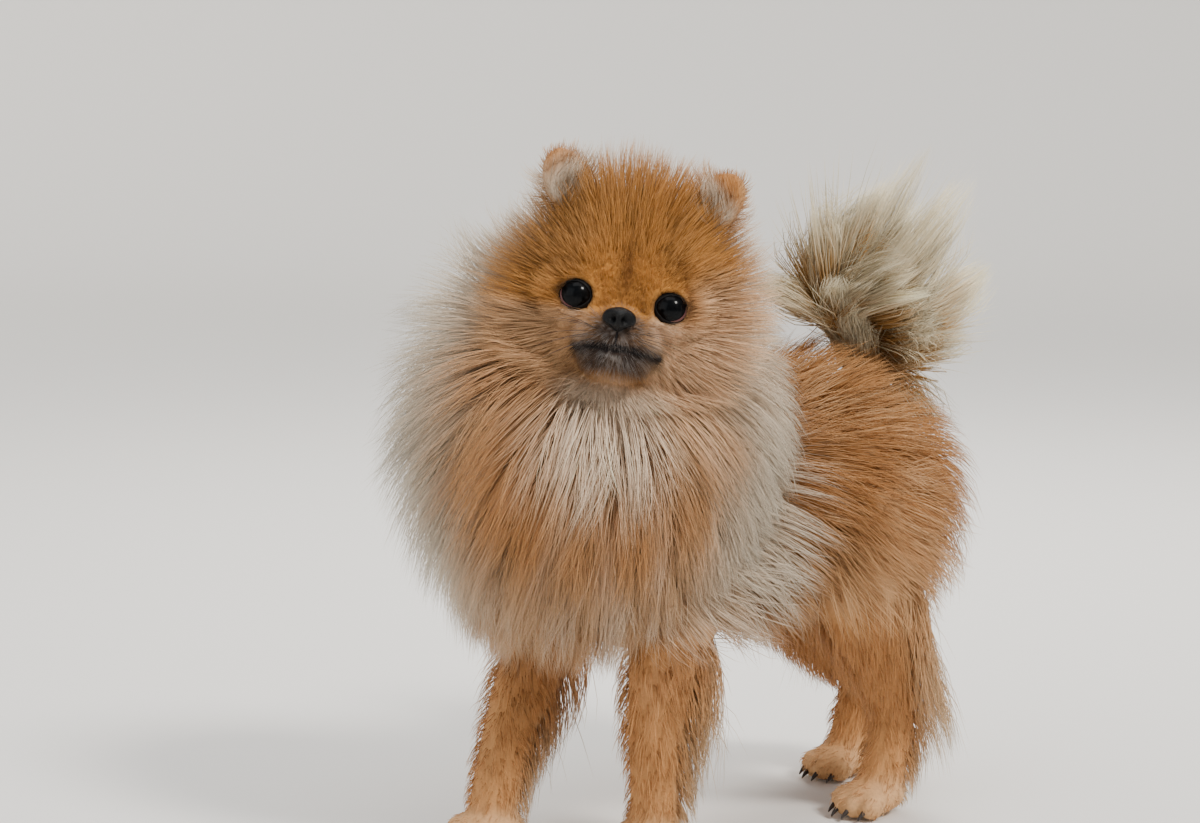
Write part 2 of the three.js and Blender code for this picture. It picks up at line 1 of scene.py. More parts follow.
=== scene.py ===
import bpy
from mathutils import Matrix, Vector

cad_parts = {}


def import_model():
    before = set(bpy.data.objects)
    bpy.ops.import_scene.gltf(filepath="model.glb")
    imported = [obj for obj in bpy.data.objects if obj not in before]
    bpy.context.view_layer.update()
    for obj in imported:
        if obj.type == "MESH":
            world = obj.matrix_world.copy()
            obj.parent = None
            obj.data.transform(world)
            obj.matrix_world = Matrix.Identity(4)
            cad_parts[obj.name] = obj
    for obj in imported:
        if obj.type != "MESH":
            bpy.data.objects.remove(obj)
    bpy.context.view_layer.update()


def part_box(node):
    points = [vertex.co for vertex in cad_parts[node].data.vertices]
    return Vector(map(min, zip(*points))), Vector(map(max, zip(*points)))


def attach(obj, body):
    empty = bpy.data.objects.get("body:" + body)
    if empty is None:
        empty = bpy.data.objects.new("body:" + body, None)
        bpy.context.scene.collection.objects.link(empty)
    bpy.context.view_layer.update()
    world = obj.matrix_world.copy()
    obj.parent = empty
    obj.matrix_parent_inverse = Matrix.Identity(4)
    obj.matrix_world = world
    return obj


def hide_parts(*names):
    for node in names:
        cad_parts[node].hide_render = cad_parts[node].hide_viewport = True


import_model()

import math

import bpy
import numpy as np
from bpy.props import EnumProperty, FloatProperty, FloatVectorProperty, IntProperty
from mathutils import Matrix, Vector
from mathutils.kdtree import KDTree

bl_info = {
    "name": "Standing Pomeranian",
    "version": (1, 0, 0),
    "blender": (4, 5, 0),
    "location": "3D View > Sidebar > Pomeranian",
    "description": "Builds a life-size Pomeranian in full coat over its packed solids",
    "category": "Object",
}

# The dog's own frame is in millimetres: it faces -Y, its left side is +X, and the floor is z = 0.
EYE_MIDDLE = np.array([58.0, -33.0, 273.0])
HEAD_ANGLES = (52.0, 9.0, 8.5)  # turn to its left, raise, roll
EYE_HALF_SPACING = 21.75
EYE_RADIUS = 8.4
EYE_DEPTH = 2.2  # eyeball's middle behind the line between the eyes
SKULL_BACK = 34.0
EAR_APART = 36  # each ear's distance from the middle of the head
NOSE_DROP = 9.5  # the nose's middle, below the eyes
SOLE_HEIGHT = 0.02
PAW_PITCH = 7.6  # from toe to toe
TOES = (-1.5, -0.5, 0.5, 1.5)  # places of the toes, in pitches
RUFF_CENTRE = np.array([0.0, -4.0, 208.0])
RUFF_RADII = np.array([62.0, 62.0, 84.0])
TAIL_POINTS = [(0, 166, 220), (0, 162, 238), (1, 150, 252), (3, 136, 257)]
TAIL_RADII = (12, 11, 10, 7)
# The photo's view: turn and height in degrees, distance and aim in mm
CAMERA_TURN, CAMERA_LIFT, CAMERA_DISTANCE = 54, 7, 1500
CAMERA_AIM = np.array([-39.9, 24.8, 208.2])
FRONT_PAWS = {"left": (31.0, 2.0), "right": (-31.0, -49.0)}
REAR_PAWS = {"left": (35.0, 143.0), "right": (-35.0, 182.0)}
FLESH = ["head", "ear_left", "ear_right", "mane", "torso", "tail"] + [
    f"{end}_{side}_{part}"
    for end in ("front", "rear")
    for side in ("left", "right")
    for part in ("leg", "paw")
]


def frame_shift():
    """Where the dog's own origin lies in the row frame, in metres, found from the eyes' solids."""
    corners = [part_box("eye_left"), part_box("eye_right")]
    middles = [(np.array(low) + np.array(high)) / 2 for low, high in corners]
    return (middles[0] + middles[1]) / 2 - (EYE_MIDDLE + head_way([[0, -0.8, 0]])[0]) * 0.001


def head_matrix():
    turn, lift, roll = (math.radians(a) for a in HEAD_ANGLES)
    m = Matrix.Rotation(turn, 3, "Z") @ Matrix.Rotation(-lift, 3, "X") @ Matrix.Rotation(roll, 3, "Y")
    return np.array(m)


HEAD = head_matrix()


def head_way(ways):
    return np.asarray(ways, float) @ HEAD.T


def head_point(points):
    return head_way(points) + EYE_MIDDLE


def into_head(points):
    return (points - EYE_MIDDLE) @ HEAD


SHIFT = frame_shift()


def world(points):
    return np.asarray(points, float) * 0.001 + SHIFT


def local(points):
    return (np.asarray(points, float) - SHIFT) * 1000


def linear(code):
    """An sRGB hex colour as linear RGB."""
    parts = [int(code[i : i + 2], 16) / 255 for i in (1, 3, 5)]
    return np.array([c / 12.92 if c <= 0.04045 else ((c + 0.055) / 1.055) ** 2.4 for c in parts])


def step(x, low, high):
    t = np.clip((x - low) / (high - low), 0, 1)
    return t * t * (3 - 2 * t)


def unit(v):
    return v / np.maximum(np.linalg.norm(v, axis=-1, keepdims=True), 1e-9)


def waves(points, size, seed):
    """Smooth noise from -1 to 1 over points in mm, with features about `size` mm across."""
    rng = np.random.default_rng(seed)
    total = np.zeros(len(points))
    for _ in range(6):
        way = unit(rng.normal(size=3))
        total += np.sin(points @ way * (2 * np.pi / (size * rng.uniform(0.7, 1.6))) + rng.uniform(0, 6.28))
    return total / 3.2


# Materials


def node(tree, kind, inputs=None, **settings):
    """Adds a node with its settings; inputs are values or other nodes' outputs."""
    made = tree.nodes.new(kind)
    for name, value in settings.items():
        setattr(made, name, value)
    for name, value in (inputs or {}).items():
        if isinstance(value, bpy.types.NodeSocket):
            tree.links.new(value, made.inputs[name])
        else:
            made.inputs[name].default_value = value
    return made


def material(name):
    made = bpy.data.materials.new(name)
    made.use_nodes = True
    made.node_tree.nodes.clear()
    return made, made.node_tree


def finish_material(made, tree, shader):
    node(tree, "ShaderNodeOutputMaterial", {"Surface": shader})
    return made


def coat_material(name, rough):
    """Hair keratin: the strand colour is carried by the mesh, and fine noise breaks it up along the
    strand, which gives the eye mixed hairs instead of one flat tone."""
    made, tree = material(name)
    colour = node(tree, "ShaderNodeVertexColor", layer_name="coat").outputs["Color"]
    place = node(tree, "ShaderNodeTexCoord").outputs["Object"]
    fine = node(tree, "ShaderNodeTexNoise", {"Vector": place, "Scale": 900.0, "Detail": 1.0})
    shade = node(tree, "ShaderNodeMapRange", {"Value": fine.outputs["Fac"], "To Min": 0.8, "To Max": 1.2})
    toned = node(
        tree, "ShaderNodeVectorMath", {0: colour, 1: shade.outputs["Result"]}, operation="MULTIPLY"
    )
    shader = node(
        tree,
        "ShaderNodeBsdfPrincipled",
        {
            "Base Color": toned.outputs["Vector"],
            "Roughness": rough,
            "IOR": 1.55,
            "Specular IOR Level": 0.22,
        },
    )
    return finish_material(made, tree, shader.outputs["BSDF"])


def plain_material(name, colour, rough, ior=1.45, noise=0.0, scale=800.0, bump=0.0, spec=0.5):
    """A surface of one colour, mottled and pitted by noise at real pore size."""
    made, tree = material(name)
    place = node(tree, "ShaderNodeTexCoord").outputs["Object"]
    grain = node(tree, "ShaderNodeTexNoise", {"Vector": place, "Scale": scale, "Detail": 4.0})
    base = linear(colour)
    low, high = base * (1 - noise), np.minimum(base * (1 + noise) + noise * 0.02, 1)
    mixed = node(tree, "ShaderNodeMix", {"Factor": grain.outputs["Fac"]}, data_type="RGBA")
    mixed.inputs[6].default_value = (*low, 1)
    mixed.inputs[7].default_value = (*high, 1)
    bumped = node(
        tree, "ShaderNodeBump", {"Height": grain.outputs["Fac"], "Distance": bump, "Strength": 0.7}
    )
    shader = node(
        tree,
        "ShaderNodeBsdfPrincipled",
        {
            "Base Color": mixed.outputs[2],
            "Roughness": rough,
            "IOR": ior,
            "Specular IOR Level": spec,
            "Normal": bumped.outputs["Normal"],
        },
    )
    return finish_material(made, tree, shader.outputs["BSDF"])


def eye_material():
    """A wet cornea over a very dark brown iris and a black pupil, each a ring about the eye's own
    local axis: nearly black, with a thin brown rim that shows where light grazes it."""
    made, tree = material("Eye, wet cornea over dark iris")
    place = node(tree, "ShaderNodeTexCoord").outputs["Object"]
    parts = node(tree, "ShaderNodeSeparateXYZ", {"Vector": place})
    flat = node(tree, "ShaderNodeCombineXYZ", {"X": parts.outputs["X"], "Y": parts.outputs["Z"]})
    away = node(tree, "ShaderNodeVectorMath", {0: flat.outputs["Vector"]}, operation="LENGTH")
    pupil, iris = 0.0036, 0.0068  # radii in metres
    ramp = node(
        tree, "ShaderNodeMapRange", {"Value": away.outputs["Value"], "From Min": pupil, "From Max": iris}
    )
    mixed = node(tree, "ShaderNodeMix", {"Factor": ramp.outputs["Result"]}, data_type="RGBA")
    mixed.inputs[6].default_value = (*linear("#030406"), 1)
    mixed.inputs[7].default_value = (*linear("#080504"), 1)
    shader = node(
        tree,
        "ShaderNodeBsdfPrincipled",
        {
            "Base Color": mixed.outputs[2],
            "Roughness": 0.3,
            "IOR": 1.376,
            "Specular IOR Level": 0.05,
            "Coat Weight": 0.25,
            "Coat Roughness": 0.01,
            "Coat IOR": 1.4,
        },
    )
    return finish_material(made, tree, shader.outputs["BSDF"])


# Closed meshes


def ring_mesh(rings, first, last):
    """Vertices and faces of a closed mesh from rings of points with a pole at each end."""
    rings = np.asarray(rings)
    count, sides = rings.shape[:2]
    points = np.vstack([rings.reshape(-1, 3), [first, last]])
    faces = []
    for i in range(count - 1):
        for j in range(sides):
            k = (j + 1) % sides
            faces.append((i * sides + j, i * sides + k, (i + 1) * sides + k, (i + 1) * sides + j))
    top = (count - 1) * sides
    for j in range(sides):
        k = (j + 1) % sides
        faces.append((count * sides, k, j))
        faces.append((count * sides + 1, top + j, top + k))
    return points, faces


def ball(centre, radius, sides=32, rings=20, turn=None):
    """A closed ball whose radius is a function of direction."""
    polar = np.linspace(0, np.pi, rings + 1)[1:-1]
    round_ = np.linspace(0, 2 * np.pi, sides, endpoint=False)
    ways = np.stack(
        [
            np.outer(np.sin(polar), np.cos(round_)),
            np.outer(np.sin(polar), np.sin(round_)),
            np.outer(np.cos(polar), np.ones(sides)),
        ],
        -1,
    )
    ends = np.array([[0, 0, 1.0], [0, 0, -1.0]])
    turn = np.eye(3) if turn is None else turn

    def place(d):
        return (d * radius(d)[..., None]) @ turn.T + np.asarray(centre, float)

    return ring_mesh(place(ways), *place(ends))


def ellipsoid(radii):
    return lambda d: 1 / np.linalg.norm(d / np.asarray(radii, float), axis=-1)


def reach(d, centre, radii):
    """Distance along a direction to an off-centre ellipsoid, or 0 where it is missed."""
    k = d / np.asarray(radii, float)
    c = np.asarray(centre, float) / np.asarray(radii, float)
    a, b, e = (k * k).sum(-1), (k * c).sum(-1), (c * c).sum() - 1
    under = b * b - a * e
    return np.where(under > 0, (b + np.sqrt(np.maximum(under, 0))) / a, 0)


# The head's forms, from the skull's middle: skull, cheeks, muzzle, chin, brows and lids.
HEAD_FORMS = [
    ((0, 1, 5), (41, 36.5, 45)),
    ((0, 0, -12), (41, 32, 26)),
    ((0, -33, -17), (17, 19.5, 12.5)),
    ((0, -30, -26), (13, 17, 8)),
    ((15, -18, 13), (15, 17, 12)),
    ((-15, -18, 13), (15, 17, 12)),
    ((20, -29, -0.5), (11.5, 10, 11)),
    ((-20, -29, -0.5), (11.5, 10, 11)),
]


def head_radius(d):
    total = sum(reach(d, centre, radii) ** 9 for centre, radii in HEAD_FORMS)
    return total ** (1 / 9)


def on_face(x, y, z, out=0.0):
    """Points on the head's skin in the direction of points in the head's frame."""
    ways = unit(np.stack(np.broadcast_arrays(x, np.asarray(y) - SKULL_BACK, z), -1).astype(float))
    return head_point(ways * (head_radius(ways) + out)[..., None] + [0, SKULL_BACK, 0])


def tube(stations, sides=20, steps=6, across=(1, 0, 0), ends=0.55):
    """A smooth tube through (x, y, z, half width, half depth) stations, with round ends."""
    s = np.asarray(stations, float)
    t = np.linspace(0, len(s) - 1, (len(s) - 1) * steps + 1)
    low = np.minimum(t.astype(int), len(s) - 2)
    u = (t - low)[:, None]
    before, after = s[np.maximum(low - 1, 0)], s[np.minimum(low + 2, len(s) - 1)]
    a, b = s[low], s[low + 1]
    square, cube = 2 * before - 5 * a + 4 * b - after, 3 * a - before - 3 * b + after
    path = 0.5 * (2 * a + (b - before) * u + square * u**2 + cube * u**3)
    centre, size = path[:, :3], path[:, 3:]
    forward = unit(np.gradient(centre, axis=0))
    side = np.asarray(across, float) - forward * (forward @ np.asarray(across, float))[:, None]
    side = unit(side)
    over = np.cross(forward, side)
    angle = np.linspace(0, 2 * np.pi, sides, endpoint=False)

    def ring(i, k, shift):
        wide = np.cos(angle)[:, None] * side[i] * size[i, 0]
        deep = np.sin(angle)[:, None] * over[i] * size[i, 1]
        return centre[i] + forward[i] * shift + (wide + deep) * k

    first, last = size[0].min() * ends, size[-1].min() * ends
    rings = [ring(0, 0.72, -first * 0.7)]
    rings += [ring(i, 1, 0) for i in range(len(t))]
    rings += [ring(len(t) - 1, 0.72, last * 0.7)]
    return ring_mesh(rings, centre[0] - forward[0] * first, centre[-1] + forward[-1] * last)


def front_leg(side, paw):
    x, (px, py) = side * 34, paw
    elbow = py + (18 - py) * 0.55
    return tube(
        [
            (side * 36, 22, 140, 22, 28),
            (x, elbow, 98, 15.5, 20),
            (x + (px - x) * 0.6, elbow + (py - elbow) * 0.6, 60, 12.5, 13.5),
            (px, py + 4, 27, 11.5, 12),
            (px, py + 2, 15, 11.5, 12.5),
        ],
        ends=0.3,
    )


def rear_leg(side, paw):
    px, py = paw
    swing = py - 150
    return tube(
        [
            (side * 36, 138, 165, 26, 38),
            (side * 40, 132 + swing * 0.3, 122, 21, 30),
            (side * 39, 146 + swing * 0.6, 84, 15, 18),
            (px, py + 12, 55, 11.5, 12.5),
            (px, py + 8, 28, 11, 11.5),
            (px, py + 4, 15, 11.5, 12.5),
        ],
        ends=0.3,
    )


def paw_forms(paw):
    px, py = paw
    forms = [ball((px, py, 10), ellipsoid((14, 18, 9.6)))]
    for place in TOES:
        forward = 15 if abs(place) < 1 else 10.5
        forms.append(ball((px + place * PAW_PITCH, py - forward, 7.4), ellipsoid((4.3, 7.6, 7.0)), 20, 14))
    return forms


def ear_form(side):
    """A small upright cup: a rounded cone with its front pushed in."""
    turn = Matrix.Rotation(math.radians(side * -14), 3, "Z")
    lean = np.array(turn @ Matrix.Rotation(math.radians(side * 24), 3, "Y"))

    def radius(d):
        point = 1 + 0.22 * np.maximum(d[..., 2], 0) ** 2
        full = ellipsoid((11, 5.6, 14))(d) * point
        front = step(-d[..., 1], 0.15, 0.8)
        return full * (1 - 0.8 * front)

    centre = head_point([[side * EAR_APART, 26, 53]])[0]
    return ball(centre, radius, 40, 28, HEAD @ lean)


TORSO = [
    (0, -22, 154, 34, 38),
    (0, 10, 152, 52, 56),
    (0, 48, 156, 53, 57),
    (0, 92, 164, 48, 50),
    (0, 132, 170, 50, 50),
    (0, 158, 168, 42, 43),
]


def body_forms():
    skull = ball(head_point([[0, SKULL_BACK, 0]])[0], head_radius, 96, 64, HEAD)
    tail = [(*p, r, r) for p, r in zip(TAIL_POINTS, TAIL_RADII)]
    forms = {
        "head": [skull, ear_form(1), ear_form(-1)],
        "mane": [ball(RUFF_CENTRE, ellipsoid(RUFF_RADII), 48, 32)],
        "trunk": [tube(TORSO, sides=40, ends=0.9)],
        "tail": [tube(tail, ends=0.8)],
        "legs": [],
    }
    for name, side in (("left", 1), ("right", -1)):
        forms["legs"] += [front_leg(side, FRONT_PAWS[name]), rear_leg(side, REAR_PAWS[name])]
        forms["legs"] += paw_forms(FRONT_PAWS[name]) + paw_forms(REAR_PAWS[name])
    return forms


def join_forms(forms):
    points, faces, start = [], [], 0
    for vertices, quads in forms:
        points.append(vertices)
        faces += [tuple(i + start for i in face) for face in quads]
        start += len(vertices)
    return np.vstack(points), faces


def add_object(name, points, faces, made_of):
    mesh = bpy.data.meshes.new(name)
    mesh.from_pydata([tuple(p) for p in points], [], faces)
    mesh.validate()
    mesh.shade_smooth()
    obj = bpy.data.objects.new(name, mesh)
    bpy.context.scene.collection.objects.link(obj)
    if made_of:
        mesh.materials.append(made_of)
    return obj


def unwrap(obj):
    """A UV map of the piece's own shape."""
    obj.data.uv_layers.new(name="OFBake")
    bpy.context.view_layer.objects.active = obj
    for other in bpy.context.selected_objects:
        other.select_set(False)
    obj.select_set(True)
    bpy.ops.object.mode_set(mode="EDIT")
    bpy.ops.mesh.select_all(action="SELECT")
    bpy.ops.uv.smart_project(angle_limit=1.15, island_margin=0.002)
    bpy.ops.object.mode_set(mode="OBJECT")


# Markings, shared by skin and coat

SHADES = {
    "face": "#bd7f37",
    # brow: the darker crown and streaks, also painted shade on the face's shaded side
    "brow_and_painted_shade": "#85561f",
    # cheek: pale cheek hair, also used as painted light on the face's lit side
    "cheek": "#ecc49c",
    "muzzle": "#2a2423",
    "chin": "#191517",
    "frost": "#bab3ae",
    "sand": "#c59a6c",
    "pale": "#e8d2b8",
    "throat": "#f0dac0",
    "band": "#bd7c39",
    # edge: pale tips, partly painted rim light along the outline
    "edge": "#ddd6c6",
    # rust: the forehead's stripe, and painted shade behind the mane
    "rust_and_painted_shade": "#74451b",
    "orange": "#b07439",
    "cream": "#e2b98b",
    "leg": "#c68c54",
    "feather": "#d6bc98",
    "plume": "#e0d3b4",
    "plume_root": "#b2864c",
    "ear_in": "#ecdfca",
}
COLOURS = {name: linear(code) for name, code in SHADES.items()}


def blend(base, name, share):
    share = np.clip(share, 0, 1)[:, None]
    return base * (1 - share) + COLOURS[name] * share


def markings(points, normals, along, plume_only=False):
    """The colour of the coat at points in mm. `along` is 0 at a hair's root and 1 at its tip."""
    p = np.asarray(points, float)
    n = np.asarray(normals, float)
    h = into_head(p)
    patch = waves(p, 46, 5)
    streak = waves(p * [1, 1, 0.35], 13, 6)
    colour = np.tile(COLOURS["orange"], (len(p), 1))
    colour = blend(colour, "cream", 0.45 * step(streak + patch * 0.5, -0.1, 0.9) + 0.3 * along)
    colour = blend(colour, "cream", step(-p[:, 2], -182, -120) * 0.6)
    # Painted shade in a rust colour where the mane overhangs the back, darkest at the hairs' roots
    painted_shade_behind_mane = step(-(p[:, 1]), -95, -60) * step(p[:, 1], 20, 50)
    colour = blend(colour, "rust_and_painted_shade", painted_shade_behind_mane * (0.6 - 0.45 * along) * step(patch, -0.9, 0.5))
    colour = blend(colour, "feather", step(p[:, 1], 175, 225) * 0.6 * along)
    # Mane: sand, paler at its tips, with a pale throat and an orange band round it
    d = p - RUFF_CENTRE
    mane = step(np.linalg.norm(d / [118, 100, 140], axis=1), 1.04, 0.9) * step(p[:, 1], 78, 52)
    sand = np.tile(COLOURS["sand"], (len(p), 1))
    sand = blend(sand, "pale", 0.55 * step(streak + 0.4 * patch, -0.4, 0.9) + 0.25 * along)
    # Paler hair at the ruff's outer reach and beside the head: partly the coat's own pale tips, partly
    # painted rim light along the outline
    outer = step(np.linalg.norm(d / [104, 104, 126], axis=1), 0.86, 1.04)
    sand = blend(sand, "edge", outer * 0.7 * (0.4 + 0.6 * along))
    beside = step(np.abs(h[:, 0]), 34, 62) * step(h[:, 1], 4, 34)
    sand = blend(sand, "edge", beside * 0.85 * (0.35 + 0.65 * along))
    sand = blend(sand, "leg", step(-p[:, 2], -150, -90) * 0.55)
    front = step(-h[:, 1], -40, 0)
    below = np.exp(-((h[:, 0] / 21) ** 2 + ((h[:, 2] + 52) / 20) ** 2))
    ring = np.exp(-(((np.hypot(h[:, 0] * 0.8, h[:, 2] + 52) - 41) / 20) ** 2)) * step(-h[:, 2], -10, 25)
    sand = blend(sand, "band", ring * front * 0.9 * step(patch, -1.6, -0.2))
    sand = blend(sand, "throat", np.minimum(below * 1.2, 1) * front * 0.95)
    colour = colour * (1 - mane[:, None]) + sand * mane[:, None]
    # Legs, paler feathering behind
    low = step(-p[:, 2], -122, -100)
    colour = blend(colour, "leg", low * 0.85)
    colour = blend(colour, "cream", step(-p[:, 2], -26, -12) * 0.5)
    colour = blend(colour, "feather", low * step(n[:, 1], 0.1, 0.8) * (0.35 + 0.6 * along))
    # Plume
    tail = step(p[:, 2], 226, 246) * step(p[:, 1], 92, 108)
    behind = step(p[:, 1], 196, 214) * step(p[:, 2], 170, 186)
    plume = np.tile(COLOURS["plume_root"], (len(p), 1))
    plume = blend(plume, "plume", step(along + 0.25 * streak, 0.1, 0.65))
    tail = np.maximum(tail, behind)[:, None]
    if plume_only:
        return plume
    colour = colour * (1 - tail) + plume * tail
    # Head
    face = head_mask(h)
    x, y, z = h[:, 0], h[:, 1], h[:, 2]
    fur = np.tile(COLOURS["face"], (len(p), 1))
    # A darker crown and darker streaks, and painted shade: the temple and eye level on the shaded side (-x)
    # are darker
    fur = blend(fur, "brow_and_painted_shade", step(z, 16, 44) * 0.3 + step(-x, 14, 34) * step(z, -2, 14) * 0.5)
    fur = blend(fur, "brow_and_painted_shade", 0.35 * step(streak, 0.1, 0.9))
    # Pale cheeks below the eyes, with painted light: the cheek on the lit side (+x) is paler than the
    # other, and a pale patch lies on the lit side only
    fur = blend(fur, "cheek", step(np.abs(x), 10, 17) * step(-z, 3, 10) * np.where(x > 0, 1.0, 0.5))
    fur = blend(fur, "cheek", step(x, 24, 38) * step(-z, -24, -4) * 0.75)
    fur = blend(fur, "sand", step(y, 14, 34) * np.where(x > 0, 0.2, 0.45) + 0.2 * along)
    # Paler hair at the head's outer reach behind the face: partly pale tips, partly painted rim light
    fur = blend(fur, "edge", step(y, 20, 40) * step(np.hypot(x, z * 0.7), 30, 42) * (0.3 + 0.55 * along))
    fur = blend(fur, "rust_and_painted_shade", np.exp(-((x / 3.0) ** 2 + ((z - 12) / 17) ** 2)) * (0.45 + 0.2 * streak))
    snout = np.exp(-((x / 13.5) ** 4 + ((z + 15) / 8.5) ** 4)) * step(-y, 2, 9)
    fur = blend(fur, "muzzle", snout * 0.95)
    fur = blend(fur, "frost", snout * step(waves(p, 2.2, 8), 0.15, 0.6) * 0.25)
    lips = np.exp(-((mouth_gap(h) / (2.0 + 0.09 * np.abs(x))) ** 2)) * step(-np.abs(x), -21.5, -19)
    under_lip = np.exp(-((x / 18.5) ** 4 + ((z + 27.5 + x * x * 0.002) / 6.4) ** 4)) * step(-y, -14, -4)
    fur = blend(fur, "throat", step(-z, 32, 42) * step(-np.abs(x), -30, -12) * 0.85)
    fur = blend(fur, "chin", under_lip * 0.97)
    chin_frost = under_lip * step(-np.abs(x), -11, -5) * step(waves(p, 2.2, 9), 0.0, 0.6)
    fur = blend(fur, "frost", chin_frost * 0.25)
    fur = blend(fur, "chin", lips)
    for side in (-1, 1):
        eye = np.hypot(h[:, 0] - side * EYE_HALF_SPACING, h[:, 2] * 1.1)
        fur = blend(fur, "chin", step(-eye, -9.4, -7.6) * step(-h[:, 1], -8, 0) * 0.75)
        ear = np.linalg.norm((h - [side * EAR_APART, 21, 56]) / [10, 9, 14], axis=1)
        fur = blend(fur, "ear_in", step(-ear, -1.3, -0.7) * step(-(n @ HEAD[:, 1]), 0.0, 0.7) * 0.7)
    return colour * (1 - face[:, None]) + fur * face[:, None]


def head_mask(h):
    inside = np.linalg.norm((h - [0, SKULL_BACK, 4]) / [60, 60, 66], axis=1)
    return step(-inside, -1.12, -0.94) * step(-h[:, 1], -62, -34)


def paint(obj, colours):
    layer = obj.data.color_attributes.new("coat", "FLOAT_COLOR", "POINT")
    values = np.ones((len(obj.data.vertices), 4), np.float32)
    values[:, :3] = colours
    layer.data.foreach_set("color", values.ravel())


# Hair


def strands_object(name, paths, widths, colours, uvs, made_of):
    """One mesh of closed three-sided hairs. paths is (hairs, rings + 1, 3) in metres, where the
    last point of each is its tip; widths are half widths of the rings, in metres."""
    hairs, count = paths.shape[0], paths.shape[1] - 1
    forward = unit(np.gradient(paths, axis=1))[:, :-1]
    helper = np.array([0.31, 0.44, 0.84])
    side = unit(np.cross(forward, helper))
    over = np.cross(forward, side)
    corners = []
    for k in range(3):
        a = 2 * np.pi * k / 3
        corners.append(paths[:, :-1] + (side * math.cos(a) + over * math.sin(a)) * widths[..., None])
    rings = np.stack(corners, 2).reshape(hairs, count * 3, 3)
    points = np.concatenate([rings, paths[:, -1:]], 1).reshape(-1, 3)
    size = count * 3 + 1
    quads, triangles = [], [(2, 1, 0)]
    for i in range(count - 1):
        for j in range(3):
            k = (j + 1) % 3
            quads.append((i * 3 + j, i * 3 + k, i * 3 + 3 + k, i * 3 + 3 + j))
    top = (count - 1) * 3
    for j in range(3):
        triangles.append((top + j, top + (j + 1) % 3, size - 1))
    start = (np.arange(hairs) * size)[:, None]
    corners = np.concatenate([np.array(quads).ravel(), np.array(triangles).ravel()])
    loops = (start + corners[None]).ravel().astype(np.int32)
    totals = np.tile(np.array([4] * len(quads) + [3] * len(triangles), np.int32), hairs)
    mesh = bpy.data.meshes.new(name)
    mesh.vertices.add(len(points))
    mesh.vertices.foreach_set("co", points.ravel())
    mesh.loops.add(len(loops))
    mesh.loops.foreach_set("vertex_index", loops)
    mesh.polygons.add(len(totals))
    mesh.polygons.foreach_set("loop_start", np.concatenate([[0], np.cumsum(totals)[:-1]]).astype(np.int32))
    mesh.polygons.foreach_set("loop_total", totals)
    mesh.update(calc_edges=True)
    mesh.shade_smooth()
    # Each hair is a small patch at its root's place on the skin's unwrap.
    spread = np.zeros((size, 2))
    for i in range(count):
        for j in range(3):
            spread[i * 3 + j] = [(i / count - 0.5) * 0.003, (j - 1) * 0.0012]
    spread[-1] = [0.0015, 0]
    layer = mesh.uv_layers.new(name="OFBake")
    flat = (uvs[:, None] + spread[corners][None]).reshape(-1, 2)
    layer.data.foreach_set("uv", flat.ravel())
    obj = bpy.data.objects.new(name, mesh)
    bpy.context.scene.collection.objects.link(obj)
    mesh.materials.append(made_of)
    rings_colour = np.repeat(colours[:, :-1], 3, axis=1)
    paint(obj, np.concatenate([rings_colour, colours[:, -1:]], 1).reshape(-1, 3))
    return obj


def skin_samples(skin, count, weight, seed):
    """Random roots on the skin: places, normals and UVs, weighted by `weight` of place and normal."""
    mesh = skin.data
    mesh.calc_loop_triangles()
    triangles = len(mesh.loop_triangles)
    corners = np.empty(triangles * 3, np.int32)
    mesh.loop_triangles.foreach_get("vertices", corners)
    loops = np.empty(triangles * 3, np.int32)
    mesh.loop_triangles.foreach_get("loops", loops)
    points = np.empty(len(mesh.vertices) * 3)
    mesh.vertices.foreach_get("co", points)
    normals = np.empty(len(mesh.vertices) * 3)
    mesh.vertices.foreach_get("normal", normals)
    uv = np.empty(len(mesh.loops) * 2)
    mesh.uv_layers["OFBake"].data.foreach_get("uv", uv)
    points, normals, uv = points.reshape(-1, 3), normals.reshape(-1, 3), uv.reshape(-1, 2)
    corners, loops = corners.reshape(-1, 3), loops.reshape(-1, 3)
    a, b, c = (points[corners[:, i]] for i in range(3))
    area = np.linalg.norm(np.cross(b - a, c - a), axis=1) / 2
    middle = local((a + b + c) / 3)
    normal = unit(normals[corners].sum(1))
    chance = area * weight(middle, normal)
    rng = np.random.default_rng(seed)
    chosen = rng.choice(triangles, count, p=chance / chance.sum())
    share = rng.dirichlet([1, 1, 1], count)[..., None]
    place = (points[corners[chosen]] * share).sum(1)
    way = unit((normals[corners[chosen]] * share).sum(1))
    return local(place), way, (uv[loops[chosen]] * share).sum(1)


def curves(root, normal, lie, length, rise, out, droop, rings):
    """Hair paths in mm: they leave the skin by `rise`, lie along `lie` and end `out` above it."""
    flat = unit(lie - normal * (lie * normal).sum(1, keepdims=True))
    middle = root + normal * (length * rise + out * 0.5)[:, None] + flat * (length * 0.42)[:, None]
    tip = root + normal * out[:, None] + flat * length[:, None]
    tip[:, 2] -= droop
    start = root - normal * 1.2
    t = np.linspace(0, 1, rings + 1)[None, :, None]
    return start[:, None] * (1 - t) ** 2 + middle[:, None] * 2 * t * (1 - t) + tip[:, None] * t**2


def lie_of_mane(p, n):
    d = unit(p - RUFF_CENTRE)
    away = unit(p - head_point([[0, -6, -6]]))
    low = step(-d[:, 2], -0.35, 0.6)
    high = step(d[:, 2], 0.25, 0.9)
    down = np.stack([-d[:, 0] * 0.5 * low, 0.45 * high, -1.25 * (1 - high)], 1)
    length = 72 + 4 * low - 10 * step(-into_head(p)[:, 1], -20, 8) * high
    out = 38 + 8 * high - 4 * low
    return away * 0.9 + down, length, np.full(len(p), 0.2), out, 3 * low


